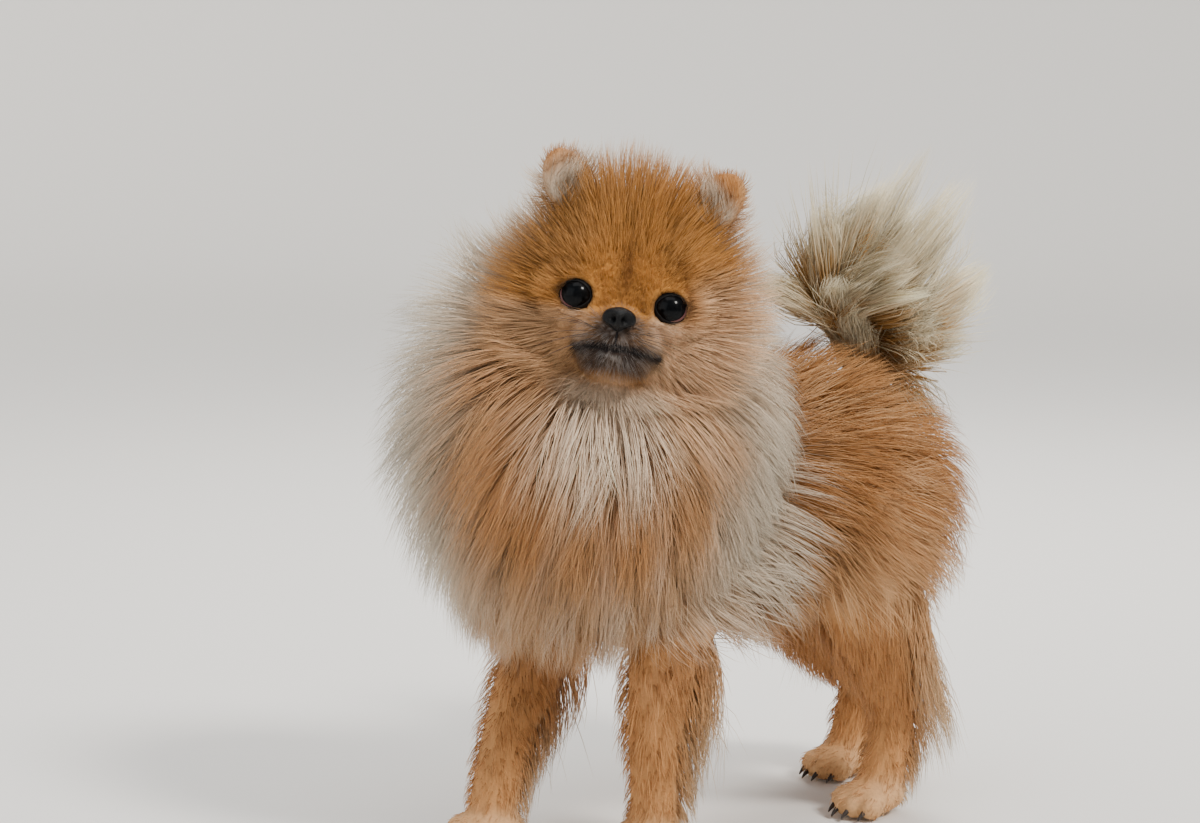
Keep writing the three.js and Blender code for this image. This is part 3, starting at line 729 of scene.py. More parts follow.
def lie_of_trunk(p, n):
    up = np.maximum(n[:, 2], 0)
    under = step(-n[:, 2], 0.2, 0.9)
    rear = step(p[:, 1], 172, 190)
    lie = np.stack([0.12 * n[:, 0], 0.85 - 0.75 * rear, -0.75 * (1 - up) - 0.3 * rear], 1)
    length = 52 - 14 * rear - 8 * under
    out = 17 + 4 * up + 2 * rear - 3 * under
    return lie, length, np.full(len(p), 0.2), out, 8 * under


def lie_of_tail(p, n):
    angle = np.arctan2(n[:, 1], n[:, 2])
    fan = step(angle, -1.15, -0.6) * step(-angle, -2.5, -2.0)
    low = step(angle, 1.1, 1.9) * fan
    lie = np.stack([-0.9 * n[:, 0], np.full(len(p), 0.3), 1.0 - 0.3 * fan - 1.5 * low], 1)
    out = 8 + 76 * fan + 16 * low
    length = 52 - 26 * fan + 14 * low
    droop = 84 * low + 10 * step(np.abs(n[:, 0]), 0.4, 0.9)
    return lie, length, np.full(len(p), 0.0), out, droop


def lie_of_legs(p, n):
    back = step(n[:, 1], 0.0, 0.75)
    thigh = step(p[:, 1], 90, 110)
    height = step(p[:, 2], 22, 110)
    paw = step(-p[:, 2], -26, -20)
    lie = np.stack([0.3 * n[:, 0], 0.25 * back - 0.9 * paw, np.full(len(p), -1.0)], 1)
    length = 10 + 15 * height + back * (13 + 28 * height) * (1 + 0.2 * thigh)
    length = length * (1 - paw) + 5.4 * paw
    out = 3.4 + 4.5 * height + back * (4 + 9 * height)
    return lie, length, np.full(len(p), 0.16), out * (1 - 0.6 * paw), 0 * length


def lie_of_head(p, n):
    h = into_head(p)
    away = h - [0, -46, -15]
    away = np.stack([away[:, 0] * 1.25, away[:, 1] * 0.9, away[:, 2] * 1.1], 1)
    lie = head_way(unit(away))
    far = np.linalg.norm((h - [0, -18, -10]) / [1, 1.1, 1], axis=1)
    length = 4 + 20 * step(far, 22, 66)
    cheek = step(np.abs(h[:, 0]), 24, 42) * step(-h[:, 2], -30, -4)
    behind = step(h[:, 1], 6, 32)
    length = length + 24 * cheek + 10 * step(h[:, 2], 24, 46) + 16 * behind
    ear = np.zeros(len(p))
    for side in (-1, 1):
        near = np.linalg.norm((h - [side * EAR_APART, 26, 55]) / [13, 9, 17], axis=1)
        ear = np.maximum(ear, step(-near, -1.12, -0.95))
    length = length * (1 - ear) + 13 * ear
    lift = 0.4 + 0.2 * step(h[:, 2], 14, 42) + 0.26 * behind + 0.12 * cheek
    out = length * lift
    ear_lie = head_way(np.tile([0, 0.2, 1.0], (len(p), 1)))
    lie = lie * (1 - ear[:, None]) + ear_lie * ear[:, None]
    return lie, length, np.full(len(p), 0.28), out, 0 * length


def lie_of_muzzle(p, n):
    h = into_head(p)
    lie = head_way(unit(h - [0, -20, -NOSE_DROP]) * [1.1, 1.0, 0.9])
    side = step(np.hypot(h[:, 0], 0.6 * (h[:, 2] + 14)), 7, 18)
    length = 4.6 + 4.5 * side
    return lie, length, np.full(len(p), 0.14), 1.3 + 1.6 * side, 0.4 + 0 * length


def region_weights():
    """For each coat, how densely its hairs grow at places and normals in mm."""

    def mane(p, n):
        d = (p - RUFF_CENTRE) / RUFF_RADII
        on = step(-np.linalg.norm(d, axis=1), -1.12, -1.05) * (p[:, 1] < 62)
        return on * (1 - head_area(p)) * (p[:, 2] > 96)

    def head_area(p):
        h = into_head(p)
        skull = np.linalg.norm((h - [0, SKULL_BACK, 0]) / [45, 42, 50], axis=1)
        ears = sum(
            np.linalg.norm((h - [s * EAR_APART, 26, 55]) / [15, 11, 19], axis=1) < 1 for s in (-1, 1)
        )
        on = (skull < 1.06) & (h[:, 1] < 60) | (ears > 0) | ((h[:, 1] < 10) & (skull < 1.6))
        return on.astype(float)

    def head(p, n):
        h = into_head(p)
        denser = 1.0 + 2.6 * step(-h[:, 1], -22, 2) + 3 * step(-h[:, 1], 2, 10)
        keep = head_area(p) * (muzzle(p, n) == 0) * denser
        for side in (-1, 1):
            eye = np.hypot(h[:, 0] - side * EYE_HALF_SPACING, h[:, 2] * 1.06)
            keep = keep * ((eye > 7.1) | (h[:, 1] > 14))
        return keep

    def muzzle(p, n):
        h = into_head(p)
        across = np.abs(h[:, 0])
        on = (h[:, 1] < 7) & (across < 23) & (h[:, 2] < -2 - 0.25 * across) & (h[:, 2] > -37)
        nose = np.hypot(h[:, 0] / 8.0, (h[:, 2] + NOSE_DROP) / 6.2)
        stop = h[:, 0] ** 2 + h[:, 1] ** 2 > 4  # the stop between the eyes keeps the head's coat
        return on * ((nose > 1) | (h[:, 1] > -8)) * (mouth_gap(h) > 0.5) * stop

    def legs(p, n):
        belly = (p[:, 2] >= 80) & (n[:, 2] <= -0.55)
        leg = (p[:, 2] < 108) & (ruff_depth(p) > 1.0) & ~belly
        thigh = (p[:, 1] > 118) & (np.abs(p[:, 0]) > 30) & (p[:, 2] < 128)
        return (leg | thigh) * ((n[:, 2] > -0.55) | (p[:, 2] > 30)) * (0.7 + 0.5 * step(n[:, 1], 0, 0.7))

    def ruff_depth(p):
        return np.linalg.norm((p - RUFF_CENTRE) / RUFF_RADII, axis=1)

    def tail(p, n):
        return ((p[:, 1] > 120) & (p[:, 2] > 221)).astype(float)

    def trunk(p, n):
        other = mane(p, n) + head_area(p) + muzzle(p, n) + legs(p, n) + tail(p, n)
        return ((other <= 0) & (p[:, 2] > 90)).astype(float)

    return {"head": head, "muzzle": muzzle, "mane": mane, "trunk": trunk, "tail": tail, "legs": legs}


def mouth_line(x):
    return -22.5 - x * x * 0.0012


def mouth_gap(h):
    """Distance in mm from the line between the lips, measured on the face."""
    gap = np.abs(h[:, 2] - mouth_line(h[:, 0]))
    outside = (np.abs(h[:, 0]) > 20.5) | (h[:, 1] > 16)
    return np.where(outside, 50, gap)


# Coat settings: hairs, rings, tuft spacing in mm, half width in mm, clumping, pieces
COATS = {
    "head": dict(hairs=22000, rings=3, tufts=1500, half=0.16, clump=0.34, parts=2, lie=lie_of_head),
    "muzzle": dict(hairs=5000, rings=3, tufts=900, half=0.1, clump=0.2, parts=1, lie=lie_of_muzzle),
    "mane": dict(hairs=23500, rings=4, tufts=1000, half=0.21, clump=0.64, parts=3, lie=lie_of_mane),
    "trunk": dict(hairs=13000, rings=4, tufts=700, half=0.23, clump=0.64, parts=2, lie=lie_of_trunk),
    "tail": dict(hairs=7000, rings=4, tufts=34, half=0.28, clump=0.93, parts=1, lie=lie_of_tail),
    "legs": dict(hairs=11000, rings=3, tufts=1300, half=0.23, clump=0.5, parts=2, lie=lie_of_legs),
}


def tuft_guides(p, n, setting, rng):
    """Each tuft's own turn of the lie, so that neighbouring tufts part and overlap."""
    lie, length, rise, out, droop = setting["lie"](p, n)
    size = np.linalg.norm(lie, axis=1, keepdims=True)
    turn = np.cross(n, unit(lie)) * rng.normal(0, 0.26, (len(p), 1)) * size
    vary = rng.uniform(0.78, 1.12, len(p))
    return lie + turn, length * vary, rise, out * rng.uniform(0.72, 1.3, len(p)), droop


def nearest_tufts(tufts, places):
    """For each place, the number of the tuft whose root is closest."""
    tree = KDTree(len(tufts))
    for i, point in enumerate(tufts):
        tree.insert(point, i)
    tree.balance()
    return np.array([tree.find(point)[1] for point in places])


def hair_paths(region, p, n, tufts, rng):
    """Paths and lengths of a coat's hairs. Each hair starts with its own lie and is drawn towards its
    tuft's guide as it nears the tip; a few loose hairs stay out of their tufts."""
    setting, hairs = COATS[region], len(p)
    places, normals, nearest = tufts
    rings = setting["rings"]
    lie, guide_length, rise, out, droop = tuft_guides(places, normals, setting, rng)
    guides = curves(places, normals, lie, guide_length, rise, out, droop, rings)
    lie, length, rise, out, droop = setting["lie"](p, n)
    loose = rng.random(hairs) < 0.12
    stray = rng.normal(0, 0.1, lie.shape) * (1 + loose[:, None])
    lie = lie + stray * np.linalg.norm(lie, axis=1, keepdims=True)
    length = length * rng.uniform(0.66, 1.06, hairs) * np.where(rng.random(hairs) < 0.25, 0.62, 1)
    out = out * rng.uniform(0.6, 1.25, hairs) * (1 + 0.25 * loose)
    own = curves(p, n, lie, length, rise, out, droop, rings)
    t = np.linspace(0, 1, rings + 1)[None, :, None]
    clump = np.where(loose, 0.15, setting["clump"] * rng.uniform(0.75, 1.1, hairs))[:, None, None]
    ratio = (length / np.maximum(guide_length[nearest], 1))[:, None, None]
    target = guides[nearest]
    short = target[:, :1] + (target - target[:, :1]) * np.clip(ratio, 0.5, 1.05)
    paths = own + (short - own) * clump * t**1.3
    wave = np.sin(t * rng.uniform(3, 8, (hairs, 1, 1)) + rng.uniform(0, 6.28, (hairs, 1, 3)))
    paths += wave * t * (length * 0.012)[:, None, None]
    return trim(region, paths, nearest), length


def hair_widths(region, length, rng):
    """Half widths in mm of each hair's rings; the head's shortest hairs are finer."""
    setting = COATS[region]
    taper = np.array([0.85, 1.0, 0.72, 0.42] if setting["rings"] == 4 else [0.9, 0.9, 0.5])
    half = setting["half"] * rng.uniform(0.7, 1.25, len(length))
    widths = half[:, None] * taper[None]
    if region == "head":
        widths = widths * (0.6 + 0.4 * step(length, 4, 16))[:, None]
    return widths


def hair_colours(region, paths, p, n, tufts, rng):
    """The markings along each hair, with its own and its tuft's tone, and painted shade that darkens it
    towards the root.
    """
    hairs = len(p)
    fade = np.linspace(0, 1, paths.shape[1])
    # A hair takes most of its colour from its root, so that markings keep their edges
    places = paths * 0.35 + p[:, None] * 0.65
    base = [markings(places[:, i], n, np.full(hairs, f), region == "tail") for i, f in enumerate(fade)]
    colours = np.stack(base, 1)
    if region == "muzzle":
        grey = rng.random(hairs) * step(-into_head(p)[:, 1], -12, 6)
        grey = (step(grey, 0.45, 0.8) * 0.7)[:, None, None] * fade[None, :, None]
        colours = colours * (1 - grey) + COLOURS["frost"] * grey
    places, _, nearest = tufts
    tone = rng.normal(1, 0.1, (hairs, 1, 1)) * rng.normal(1, 0.07, len(places))[nearest][:, None, None]
    # Painted shade: each hair is darker towards its root, where the coat shades itself
    depth = (0.84 + 0.24 * fade)[None, :, None]
    return np.clip(colours * tone * depth, 0.003, 0.92)


def kept_hairs(region, paths, p):
    """The hairs that clear the floor, the space below the belly, the eyes and the nose."""
    lowest = paths[:, :, 2].min(1)
    keep = lowest > 0.6
    if region == "trunk":
        # No long hair hangs from the belly; behind it the flank's hair may fall lower
        keep &= lowest > np.where(p[:, 1] < 112, 92, 64)
    if region != "legs":
        keep &= ~near_face(paths)
    return np.flatnonzero(keep)


def grow_coat(region, skin, made_of, density):
    """The coat of one region as separate pieces, each a share of its hairs."""
    setting = COATS[region]
    seed = list(COATS).index(region) * 10 + 3
    rng = np.random.default_rng(seed)
    weight = region_weights()[region]
    p, n, uv = skin_samples(skin, int(setting["hairs"] * density), weight, seed + 1)
    places, normals, _ = skin_samples(skin, setting["tufts"], weight, seed + 2)
    tufts = (places, normals, nearest_tufts(places, p))
    paths, length = hair_paths(region, p, n, tufts, rng)
    widths = hair_widths(region, length, rng)
    colours = hair_colours(region, paths, p, n, tufts, rng)
    order = kept_hairs(region, paths, p)
    made = []
    for part in range(setting["parts"]):
        use = order[part :: setting["parts"]]
        name = f"coat_{region}_{part + 1}"
        piece = strands_object(name, world(paths[use]), widths[use] * 0.001, colours[use], uv[use], made_of)
        made.append(piece)
    return made


# How far the coat reaches: middle and half axes in mm, the head's in its own frame. They were set
# against the photo's outline, and they also keep the coat near the solids' box.
OUTLINES = {
    "head": ((0, 34, 4), (86, 70, 82)),
    "mane": ((-6, -8, 208), (108, 118, 136)),
    "tail": ((1, 160, 244), (70, 110, 121)),
    "trunk": ((0, 70, 150), (96, 172, 118)),
}


def trim(region, paths, tuft):
    """Shortens the hairs that would pass the coat's outline, as a groomer does. Each tuft ends
    at its own height, which leaves the edge ragged."""
    if region not in OUTLINES:
        return paths
    middle, half = (np.array(v, float) for v in OUTLINES[region])
    place = into_head(paths) if region == "head" else paths
    root = np.linalg.norm((place[:, 0] - middle) / half, axis=1)
    tip = np.linalg.norm((place[:, -1] - middle) / half, axis=1)
    uneven = {"tail": 0.3, "mane": 0.05}.get(region, 0.08)
    by_hair = np.abs(np.sin(np.arange(len(paths)) * 78.233))
    ragged = 1.0 - uneven * np.abs(np.sin(tuft * 12.9898)) - 0.05 * by_hair
    share = np.clip((ragged - root) / np.maximum(tip - root, 1e-3), 0.3, 1.0)
    share = np.where(tip > ragged, share, 1.0)[:, None, None]
    return paths[:, :1] + (paths - paths[:, :1]) * share


def near_face(paths):
    """Hairs of the coat whose tips would cross the eyes or the nose."""
    h = into_head(paths[:, -1])
    hit = np.zeros(len(h), bool)
    for side in (-1, 1):
        flat = np.hypot(h[:, 0] - side * EYE_HALF_SPACING, h[:, 2])
        hit |= (flat < 7.4) & (h[:, 1] < 10)
    hit |= (np.hypot(h[:, 0] / 7.5, (h[:, 2] + NOSE_DROP) / 6) < 1) & (h[:, 1] < -8)
    return hit


# Operators

PIECES = {}


def place_piece(obj, nodes=()):
    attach(obj, "root")
    if nodes:
        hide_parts(*nodes)


def add_piece(name, points, faces, made_of, slot, nodes=()):
    """A piece with its own unwrap, set on the dog."""
    obj = add_object(name, points, faces, made_of)
    unwrap(obj)
    place_piece(obj, nodes)


class SkinSettings(bpy.types.PropertyGroup):
    voxel: FloatProperty(
        name="Mesh size",
        description="Spacing of the skin's mesh",
        default=0.0021,
        min=0.0015,
        max=0.005,
        unit="LENGTH",
    )


class CoatSettings(bpy.types.PropertyGroup):
    density: FloatProperty(
        name="Density", description="Share of the full count of hairs", default=1.0, min=0.1, max=1.0
    )
    roughness: FloatProperty(
        name="Roughness", description="Roughness of the hairs", default=0.52, min=0.0, max=1.0
    )


class StageSettings(bpy.types.PropertyGroup):
    floor_colour: FloatVectorProperty(
        name="Floor colour",
        description="Colour of the floor, in linear RGB",
        subtype="COLOR",
        default=(0.78, 0.76, 0.73),
        size=3,
    )
    lens: FloatProperty(
        name="Lens", description="Focal length in mm on a 36 mm sensor", default=90.0, min=20.0
    )
    whiskers: IntProperty(
        name="Whiskers", description="Whiskers on each side", default=9, min=0, max=20
    )


class POM_OT_skin(bpy.types.Operator):
    """Build the one skin of head, ears, body, legs and tail"""

    bl_idname = "pom.skin"
    bl_label = "Skin"

    def execute(self, context):
        forms = [form for group in body_forms().values() for form in group]
        points, faces = join_forms(forms)
        skin = add_object("skin", world(points), faces, None)
        remesh = skin.modifiers.new("Remesh", "REMESH")
        remesh.mode = "VOXEL"
        remesh.voxel_size = context.scene.pom_skin.voxel
        smooth = skin.modifiers.new("Smooth", "SMOOTH")
        smooth.factor = 0.5
        smooth.iterations = 2
        graph = context.evaluated_depsgraph_get()
        mesh = bpy.data.meshes.new_from_object(skin.evaluated_get(graph))
        skin.modifiers.clear()
        skin.data = mesh
        mesh.shade_smooth()
        shape_skin(skin)
        unwrap(skin)
        count = len(mesh.vertices)
        flat = np.empty(count * 3)
        mesh.vertices.foreach_get("co", flat)
        way = np.empty(count * 3)
        mesh.vertices.foreach_get("normal", way)
        # The skin takes the markings darkened by a tenth: painted shade beneath the coat
        paint(skin, markings(local(flat.reshape(-1, 3)), way.reshape(-1, 3), np.full(count, 0.2)) * 0.9)
        mesh.materials.clear()
        mesh.materials.append(coat_material("Undercoat over skin, short matt hair", 0.8))
        place_piece(skin, FLESH)
        PIECES["skin"] = skin
        return {"FINISHED"}


def shape_skin(skin):
    """Sockets for the eyes and flat soles, pressed into the skin."""
    flat = np.empty(len(skin.data.vertices) * 3)
    skin.data.vertices.foreach_get("co", flat)
    p = local(flat.reshape(-1, 3))
    h = into_head(p)
    for side in (-1, 1):
        away = np.hypot(h[:, 0] - side * EYE_HALF_SPACING, h[:, 2] * 1.04)
        socket = step(-away, -8.0, -5.8) * (h[:, 1] < 12)
        h[:, 1] += socket * np.maximum(3.5 - h[:, 1], 0)
    # The line between the lips
    seam = np.exp(-((mouth_gap(h) / 1.3) ** 2)) * (h[:, 1] < 14)
    h[:, 1] += seam * 1.6
    p = head_point(h)
    p[:, 2] = np.maximum(p[:, 2], SOLE_HEIGHT)
    skin.data.vertices.foreach_set("co", world(p).ravel())
    skin.data.update()


class POM_OT_eyes(bpy.types.Operator):
    """Build the eyes and their dark rims"""

    bl_idname = "pom.eyes"
    bl_label = "Eyes"

    def execute(self, context):
        glass = eye_material()
        # Dull black, so that the lid reads as one dark shape with the eye
        rim_skin = plain_material(
            "Eye rim, damp black skin", "#0a0707", 0.62, noise=0.3, scale=1500, bump=0.0002, spec=0.2
        )
        # A thin warm line that makes the eye look moist
        pink = plain_material(
            "Inner lid, moist pink-brown skin", "#5e3836", 0.4, noise=0.3, scale=1500, spec=0.3
        )
        for name, side in (("left", 1), ("right", -1)):
            centre = head_point([[side * EYE_HALF_SPACING, EYE_DEPTH, 0]])[0]
            points, faces = ball((0, 0, 0), ellipsoid((EYE_RADIUS,) * 3), 40, 28)
            facing = math.radians(side * 14)
            eye = add_object(f"eyeball_{name}", points * 0.001, faces, glass)
            turn = Matrix([list(row) for row in HEAD]) @ Matrix.Rotation(facing, 3, "Z")
            eye.matrix_world = Matrix.Translation(Vector(world(centre))) @ turn.to_4x4()
            unwrap(eye)
            place_piece(eye, [f"eye_{name}"])
            add_piece(f"eyelid_{name}", *eye_rim(side), rim_skin, "nose_leather")
            add_piece(f"inner_lid_{name}", *inner_lid(side), pink, "nose_leather")
        return {"FINISHED"}


def eye_rim(side):
    """A closed ring of lid that hugs the eyeball, drawn out a little at its corners."""
    rings = []
    for a in np.linspace(0, 2 * np.pi, 48, endpoint=False):
        c, s = math.cos(a), math.sin(a)
        corner = 1 + 0.1 * max(0, abs(c) - 0.7) / 0.3
        opening = np.array([c * 6.9 * corner, 0, s * (6.3 if s > 0 else 6.4)])
        ring = []
        for b in np.linspace(0, 2 * np.pi, 10, endpoint=False):
            out = 0.75 * math.cos(b) + 0.35
            flat = opening + np.array([c, 0, s]) * out
            far = min(np.hypot(flat[0], flat[2]), EYE_RADIUS)
            depth = math.sqrt(max((EYE_RADIUS + 0.12) ** 2 - far**2, 1.2))
            ring.append([flat[0], -depth - 0.45 * math.sin(b), flat[2]])
        rings.append(ring)
    turn = np.array(Matrix.Rotation(math.radians(side * 9), 3, "Z"))
    ring = np.array(rings) @ turn.T
    points = head_point(ring.reshape(-1, 3) + [side * EYE_HALF_SPACING, EYE_DEPTH, 0])
    faces = closed_faces(len(rings), 10)
    return world(points), faces


def inner_lid(side):
    """The moist edge of the lower lid, which shows at the eye's outer corner."""
    angle = np.radians(np.linspace(12, -88, 11))
    across, down = side * 6.5 * np.cos(angle), 6.0 * np.sin(angle)
    depth = np.sqrt((EYE_RADIUS + 0.1) ** 2 - across**2 - down**2)
    turn = np.array(Matrix.Rotation(math.radians(side * 9), 3, "Z"))
    path = np.stack([across, -depth, down], 1) @ turn.T + [side * EYE_HALF_SPACING, EYE_DEPTH, 0]
    thick = 0.12 + 0.42 * np.sin(np.linspace(0, np.pi, 11))
    points, faces = tube([(*q, r, r) for q, r in zip(head_point(path), thick)], 10, 2, tuple(HEAD[:, 1]))
    return world(points), faces


def closed_faces(count, sides):
    faces = []
    for i in range(count):
        for j in range(sides):
            k, l = (i + 1) % count, (j + 1) % sides
            faces.append((i * sides + j, i * sides + l, k * sides + l, k * sides + j))
    return faces


class POM_OT_nose(bpy.types.Operator):
    """Build the nose, with its nostrils and middle groove, and the lips"""

    bl_idname = "pom.nose"
    bl_label = "Nose and lips"

    def execute(self, context):
        # Fine pebbles about 0.7 mm apart break up the sheen of a damp nose
        leather = plain_material(
            "Nose leather, damp and pebbled", "#040405", 0.4, noise=0.35, scale=1400, bump=0.0005, spec=0.2
        )

        def radius(d):
            full = ellipsoid((7.8, 6.3, 5.9))(d)
            wing = 0
            for side in (-1, 1):
                hole = unit(np.array([side * 0.58, -0.8, -0.06]))
                near = np.arccos(np.clip(d @ hole, -1, 1))
                wing = wing + 0.66 * np.exp(-((near / 0.4) ** 2))
                wing = wing - 0.07 * np.exp(-(((near - 0.5) / 0.2) ** 2))
            middle = step(-d[..., 1], 0.2, 0.7) * step(-d[..., 2], -0.3, 0.3)
            groove = 0.12 * np.exp(-((d[..., 0] / 0.09) ** 2)) * middle
            flat_top = 0.06 * step(d[..., 2], 0.4, 0.9)
            narrow = 0.3 * step(-d[..., 2], 0.1, 0.8) * np.abs(d[..., 0])
            return full * (1 - wing - groove - flat_top - narrow)

        points, faces = ball(head_point([[0, -20, -NOSE_DROP]])[0], radius, 72, 56, HEAD)
        add_piece("nose_leather", world(points), faces, leather, "nose_leather", ["nose"])
        # Soft black skin that is seen only as a dark line between the hairs
        lip = plain_material(
            "Lip, damp black skin", "#120d0f", 0.6, noise=0.3, scale=1200, bump=0.0003, spec=0.2
        )
        x = np.linspace(-19.5, 19.5, 27)
        for name, offset, size in (("upper", 0.3, 0.34), ("lower", -0.35, 0.42)):
            path = on_face(x, -19 + x * x * 0.035, mouth_line(x) + offset, -0.2)
            stations = [(*q, size * (1 - 0.6 * abs(s / 19.5) ** 4), size) for q, s in zip(path, x)]
            points, faces = tube(stations, sides=10, steps=2, across=tuple(HEAD[:, 2]), ends=0.5)
            add_piece(f"lip_{name}", world(points), faces, lip, "nose_leather")
        z = np.linspace(-14.5, -22, 6)
        path = on_face(0 * z, -19 + 0 * z, z, 0.1)
        points, faces = tube([(*q, 0.5, 0.5) for q in path], sides=8, steps=2, across=tuple(HEAD[:, 0]))
        add_piece("philtrum", world(points), faces, lip, "nose_leather")
        return {"FINISHED"}


class POM_OT_claws(bpy.types.Operator):
    """Build the four claws of each paw"""

    bl_idname = "pom.claws"
    bl_label = "Claws"

    def execute(self, context):
        # Smooth horn that catches a narrow highlight along each claw
        horn = plain_material("Claw horn, dark and smooth", "#2c221c", 0.3, ior=1.54, noise=0.4, scale=300)
        for end, paws in (("front", FRONT_PAWS), ("rear", REAR_PAWS)):
            for side, (px, py) in paws.items():
                forms = []
                for place in TOES:
                    reach_out = 20.5 if abs(place) < 1 else 16.0
                    x, y = px + place * PAW_PITCH, py - reach_out
                    hook = [
                        (x, y + 3, 6.2, 1.5, 1.7),
                        (x, y, 5.2, 1.3, 1.5),
                        (x, y - 2.6, 3.4, 0.85, 1.0),
                        (x, y - 4.2, 1.6, 0.3, 0.35),
                    ]
                    forms.append(tube(hook, 10, 4))
                add_piece(f"claws_{end}_{side}", *world_form(join_forms(forms)), horn, "nose_leather")
        return {"FINISHED"}


def world_form(form):
    points, faces = form
    return world(points), faces


class POM_OT_whiskers(bpy.types.Operator):
    """Build the whiskers on both sides of the muzzle"""

    bl_idname = "pom.whiskers"
    bl_label = "Whiskers"

    def execute(self, context):
        count = context.scene.pom_stage.whiskers
        rng = np.random.default_rng(77)
        # Stiffer and glossier than fur, so that whiskers show as fine dark lines
        hair = plain_material("Whisker, stiff dark hair", "#2a2320", 0.35, ior=1.55)
        forms = []
        for side in (-1, 1):
            for i in range(count):
                row, place = divmod(i, 3)
                x, z = side * (9 + place * 2.6), -14.5 - row * 2.6
                root = on_face(np.array([x]), np.array([-14.0]), np.array([z]))[0]
                rise = 0.12 - 0.22 * row + rng.normal(0, 0.1)
                way = head_way([[side * (0.95 + 0.1 * place), -0.42 + 0.22 * place, rise]])[0]
                length = rng.uniform(20, 33)
                t = np.linspace(0, 1, 5)[:, None]
                sag = head_way([[0, 0.35, -0.35]])[0]
                path = root + unit(way) * t * length + sag * t**2 * length * 0.45
                thick = 0.13 * (1.12 - t[:, 0])
                forms.append(tube([(*q, r, r) for q, r in zip(path, thick)], 5, 2))
        add_piece("whiskers", *world_form(join_forms(forms)), hair, "orange_coat")
        return {"FINISHED"}


class POM_OT_coat(bpy.types.Operator):
    """Grow one region's coat from the skin, as tapered tufts that follow the lie of the hair"""

    bl_idname = "pom.coat"
    bl_label = "Coat"

    region: EnumProperty(
        name="Region", description="Part of the body", items=[(k, k.title(), k) for k in COATS]
    )

    def execute(self, context):
        if "skin" not in PIECES:
            raise RuntimeError("Build the skin first")
        settings = context.scene.pom_coat
        made_of = coat_material(f"Hair of the {self.region}, fine keratin strands", settings.roughness)
        density = settings.density * 1.0
        for piece in grow_coat(self.region, PIECES["skin"], made_of, density):
            place_piece(piece)
        return {"FINISHED"}


def sweep():
    """A round paper sweep: flat in the middle, curved up to a low wall all round."""
    flat, curve, height = 3.4, 1.6, 2.6  # metres
    turns = np.linspace(0, 2 * np.pi, 96, endpoint=False)
    bends = np.linspace(0, np.pi / 2, 14)[1:]
    profile = [(0.6, 0), (2.0, 0), (flat, 0)]
    profile += [(flat + curve * math.sin(b), curve - curve * math.cos(b)) for b in bends]
    profile.append((flat + curve, height))
    points = [(r * math.cos(t), r * math.sin(t), z) for r, z in profile for t in turns] + [(0, 0, 0)]
    sides, faces = len(turns), []
    for i in range(len(profile) - 1):
        for j in range(sides):
            k = (j + 1) % sides
            faces.append((i * sides + j, (i + 1) * sides + j, (i + 1) * sides + k, i * sides + k))
    faces += [(len(points) - 1, j, (j + 1) % sides) for j in range(sides)]
    return points, faces


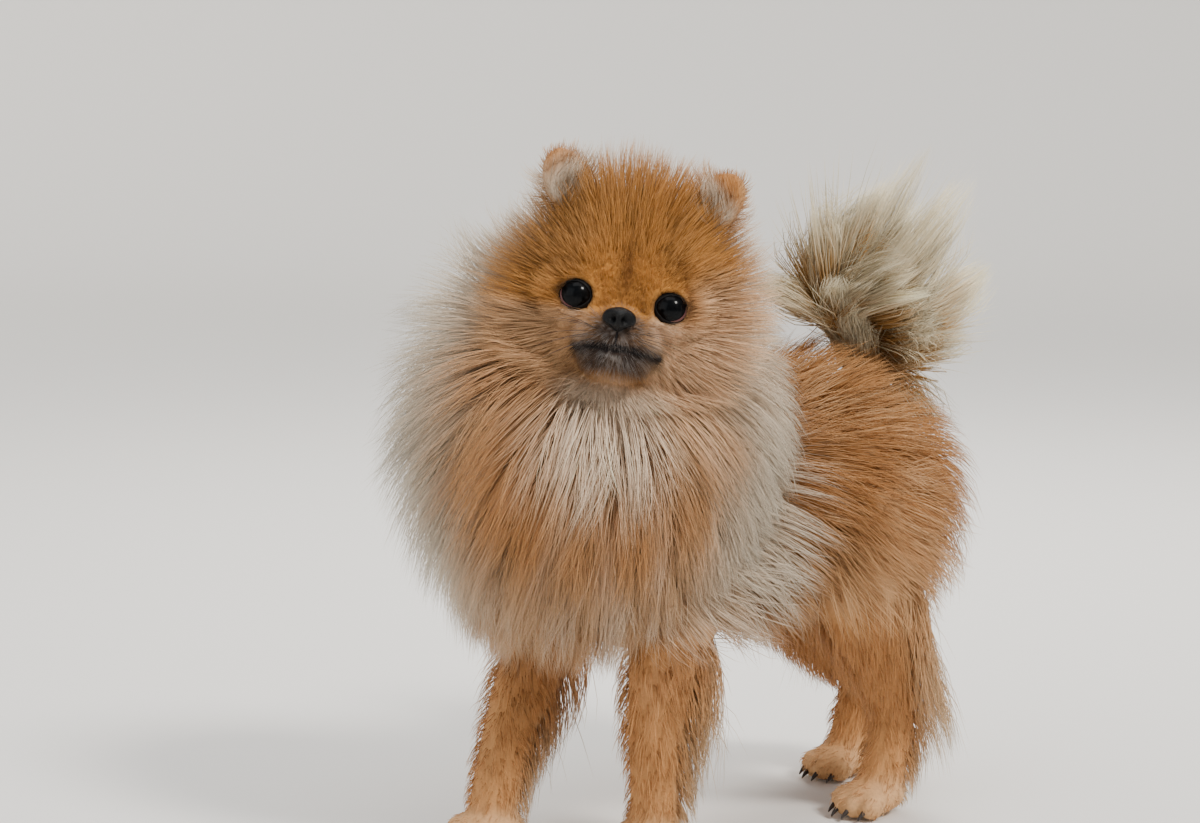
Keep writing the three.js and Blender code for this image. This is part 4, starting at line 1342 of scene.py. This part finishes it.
class POM_OT_stage(bpy.types.Operator):
    """Set the floor, the soft studio lights and the camera"""

    bl_idname = "pom.stage"
    bl_label = "Stage"

    def execute(self, context):
        settings = context.scene.pom_stage
        # Matt paper takes soft shadows and shows no sheen at its horizon
        made, tree = material("Paper sweep, matt")
        paper = {"Base Color": (*settings.floor_colour, 1), "Roughness": 0.9}
        shader = node(tree, "ShaderNodeBsdfPrincipled", paper)
        finish_material(made, tree, shader.outputs["BSDF"])
        floor = add_object("floor", *sweep(), made)
        floor.location.z = -0.0002
        background = context.scene.world or bpy.data.worlds.new("Studio")
        context.scene.world = background
        background.use_nodes = True
        background.node_tree.nodes["Background"].inputs["Color"].default_value = (0.86, 0.9, 0.95, 1)
        background.node_tree.nodes["Background"].inputs["Strength"].default_value = 0.5
        camera_at = world(CAMERA_AIM + CAMERA_DISTANCE * view_way(CAMERA_TURN, CAMERA_LIFT))
        aim = world(CAMERA_AIM)
        lights = (
            ("fill", view_way(10, 24), 1.8, 6.0, 1.4, (0.9, 0.95, 1.0)),
            ("rim", view_way(215, 48), 1.6, 24.0, 0.8, (1.0, 0.97, 0.92)),
            ("top", view_way(60, 84), 1.5, 9.0, 1.2, (1.0, 1.0, 1.0)),
        )
        for name, way, far, power, size, tint in lights:
            data = bpy.data.lights.new(name, "AREA")
            data.energy, data.size, data.color = power, size, tint
            lamp = bpy.data.objects.new(name, data)
            lamp.location = Vector(aim + way * far)
            lamp.rotation_euler = (Vector(aim) - lamp.location).to_track_quat("-Z", "Y").to_euler()
            context.scene.collection.objects.link(lamp)
        data = bpy.data.lights.new("key", "SUN")
        data.energy, data.angle, data.color = 3.2, math.radians(14), (1.0, 0.965, 0.91)
        key = bpy.data.objects.new("key", data)
        key.rotation_euler = Vector(-view_way(102, 44)).to_track_quat("-Z", "Y").to_euler()
        context.scene.collection.objects.link(key)
        data = bpy.data.cameras.new("photo_view")
        data.lens, data.sensor_width = settings.lens, 36.0
        data.clip_start, data.clip_end = 0.05, 50
        camera = bpy.data.objects.new("photo_view", data)
        camera.location = Vector(camera_at)
        camera.rotation_euler = (Vector(aim) - camera.location).to_track_quat("-Z", "Y").to_euler()
        context.scene.collection.objects.link(camera)
        context.scene.camera = camera
        return {"FINISHED"}


def view_way(turn, lift):
    t, l = math.radians(turn), math.radians(lift)
    return np.array([math.sin(t) * math.cos(l), -math.cos(t) * math.cos(l), math.sin(l)])


class POM_PT_panel(bpy.types.Panel):
    """The steps that build the dog"""

    bl_label = "Pomeranian"
    bl_idname = "POM_PT_panel"
    bl_space_type = "VIEW_3D"
    bl_region_type = "UI"
    bl_category = "Pomeranian"

    def draw(self, context):
        column = self.layout.column()
        scene = context.scene
        column.prop(scene.pom_skin, "voxel")
        column.prop(scene.pom_coat, "density")
        column.prop(scene.pom_coat, "roughness")
        column.prop(scene.pom_stage, "floor_colour")
        column.prop(scene.pom_stage, "lens")
        column.prop(scene.pom_stage, "whiskers")
        for name in ("pom.skin", "pom.eyes", "pom.nose", "pom.claws", "pom.whiskers"):
            column.operator(name)
        for region in COATS:
            column.operator("pom.coat", text=f"Coat of the {region}").region = region
        column.operator("pom.stage")


CLASSES = (
    SkinSettings,
    CoatSettings,
    StageSettings,
    POM_OT_skin,
    POM_OT_eyes,
    POM_OT_nose,
    POM_OT_claws,
    POM_OT_whiskers,
    POM_OT_coat,
    POM_OT_stage,
    POM_PT_panel,
)


def register():
    for cls in CLASSES:
        bpy.utils.register_class(cls)
    bpy.types.Scene.pom_skin = bpy.props.PointerProperty(type=SkinSettings)
    bpy.types.Scene.pom_coat = bpy.props.PointerProperty(type=CoatSettings)
    bpy.types.Scene.pom_stage = bpy.props.PointerProperty(type=StageSettings)


def unregister():
    del bpy.types.Scene.pom_skin
    del bpy.types.Scene.pom_coat
    del bpy.types.Scene.pom_stage
    for cls in reversed(CLASSES):
        bpy.utils.unregister_class(cls)


def main():
    register()
    bpy.ops.pom.skin()
    bpy.ops.pom.eyes()
    bpy.ops.pom.nose()
    bpy.ops.pom.claws()
    bpy.ops.pom.whiskers()
    for region in COATS:
        bpy.ops.pom.coat(region=region)
    bpy.ops.pom.stage()


if __name__ == "__main__":
    main()
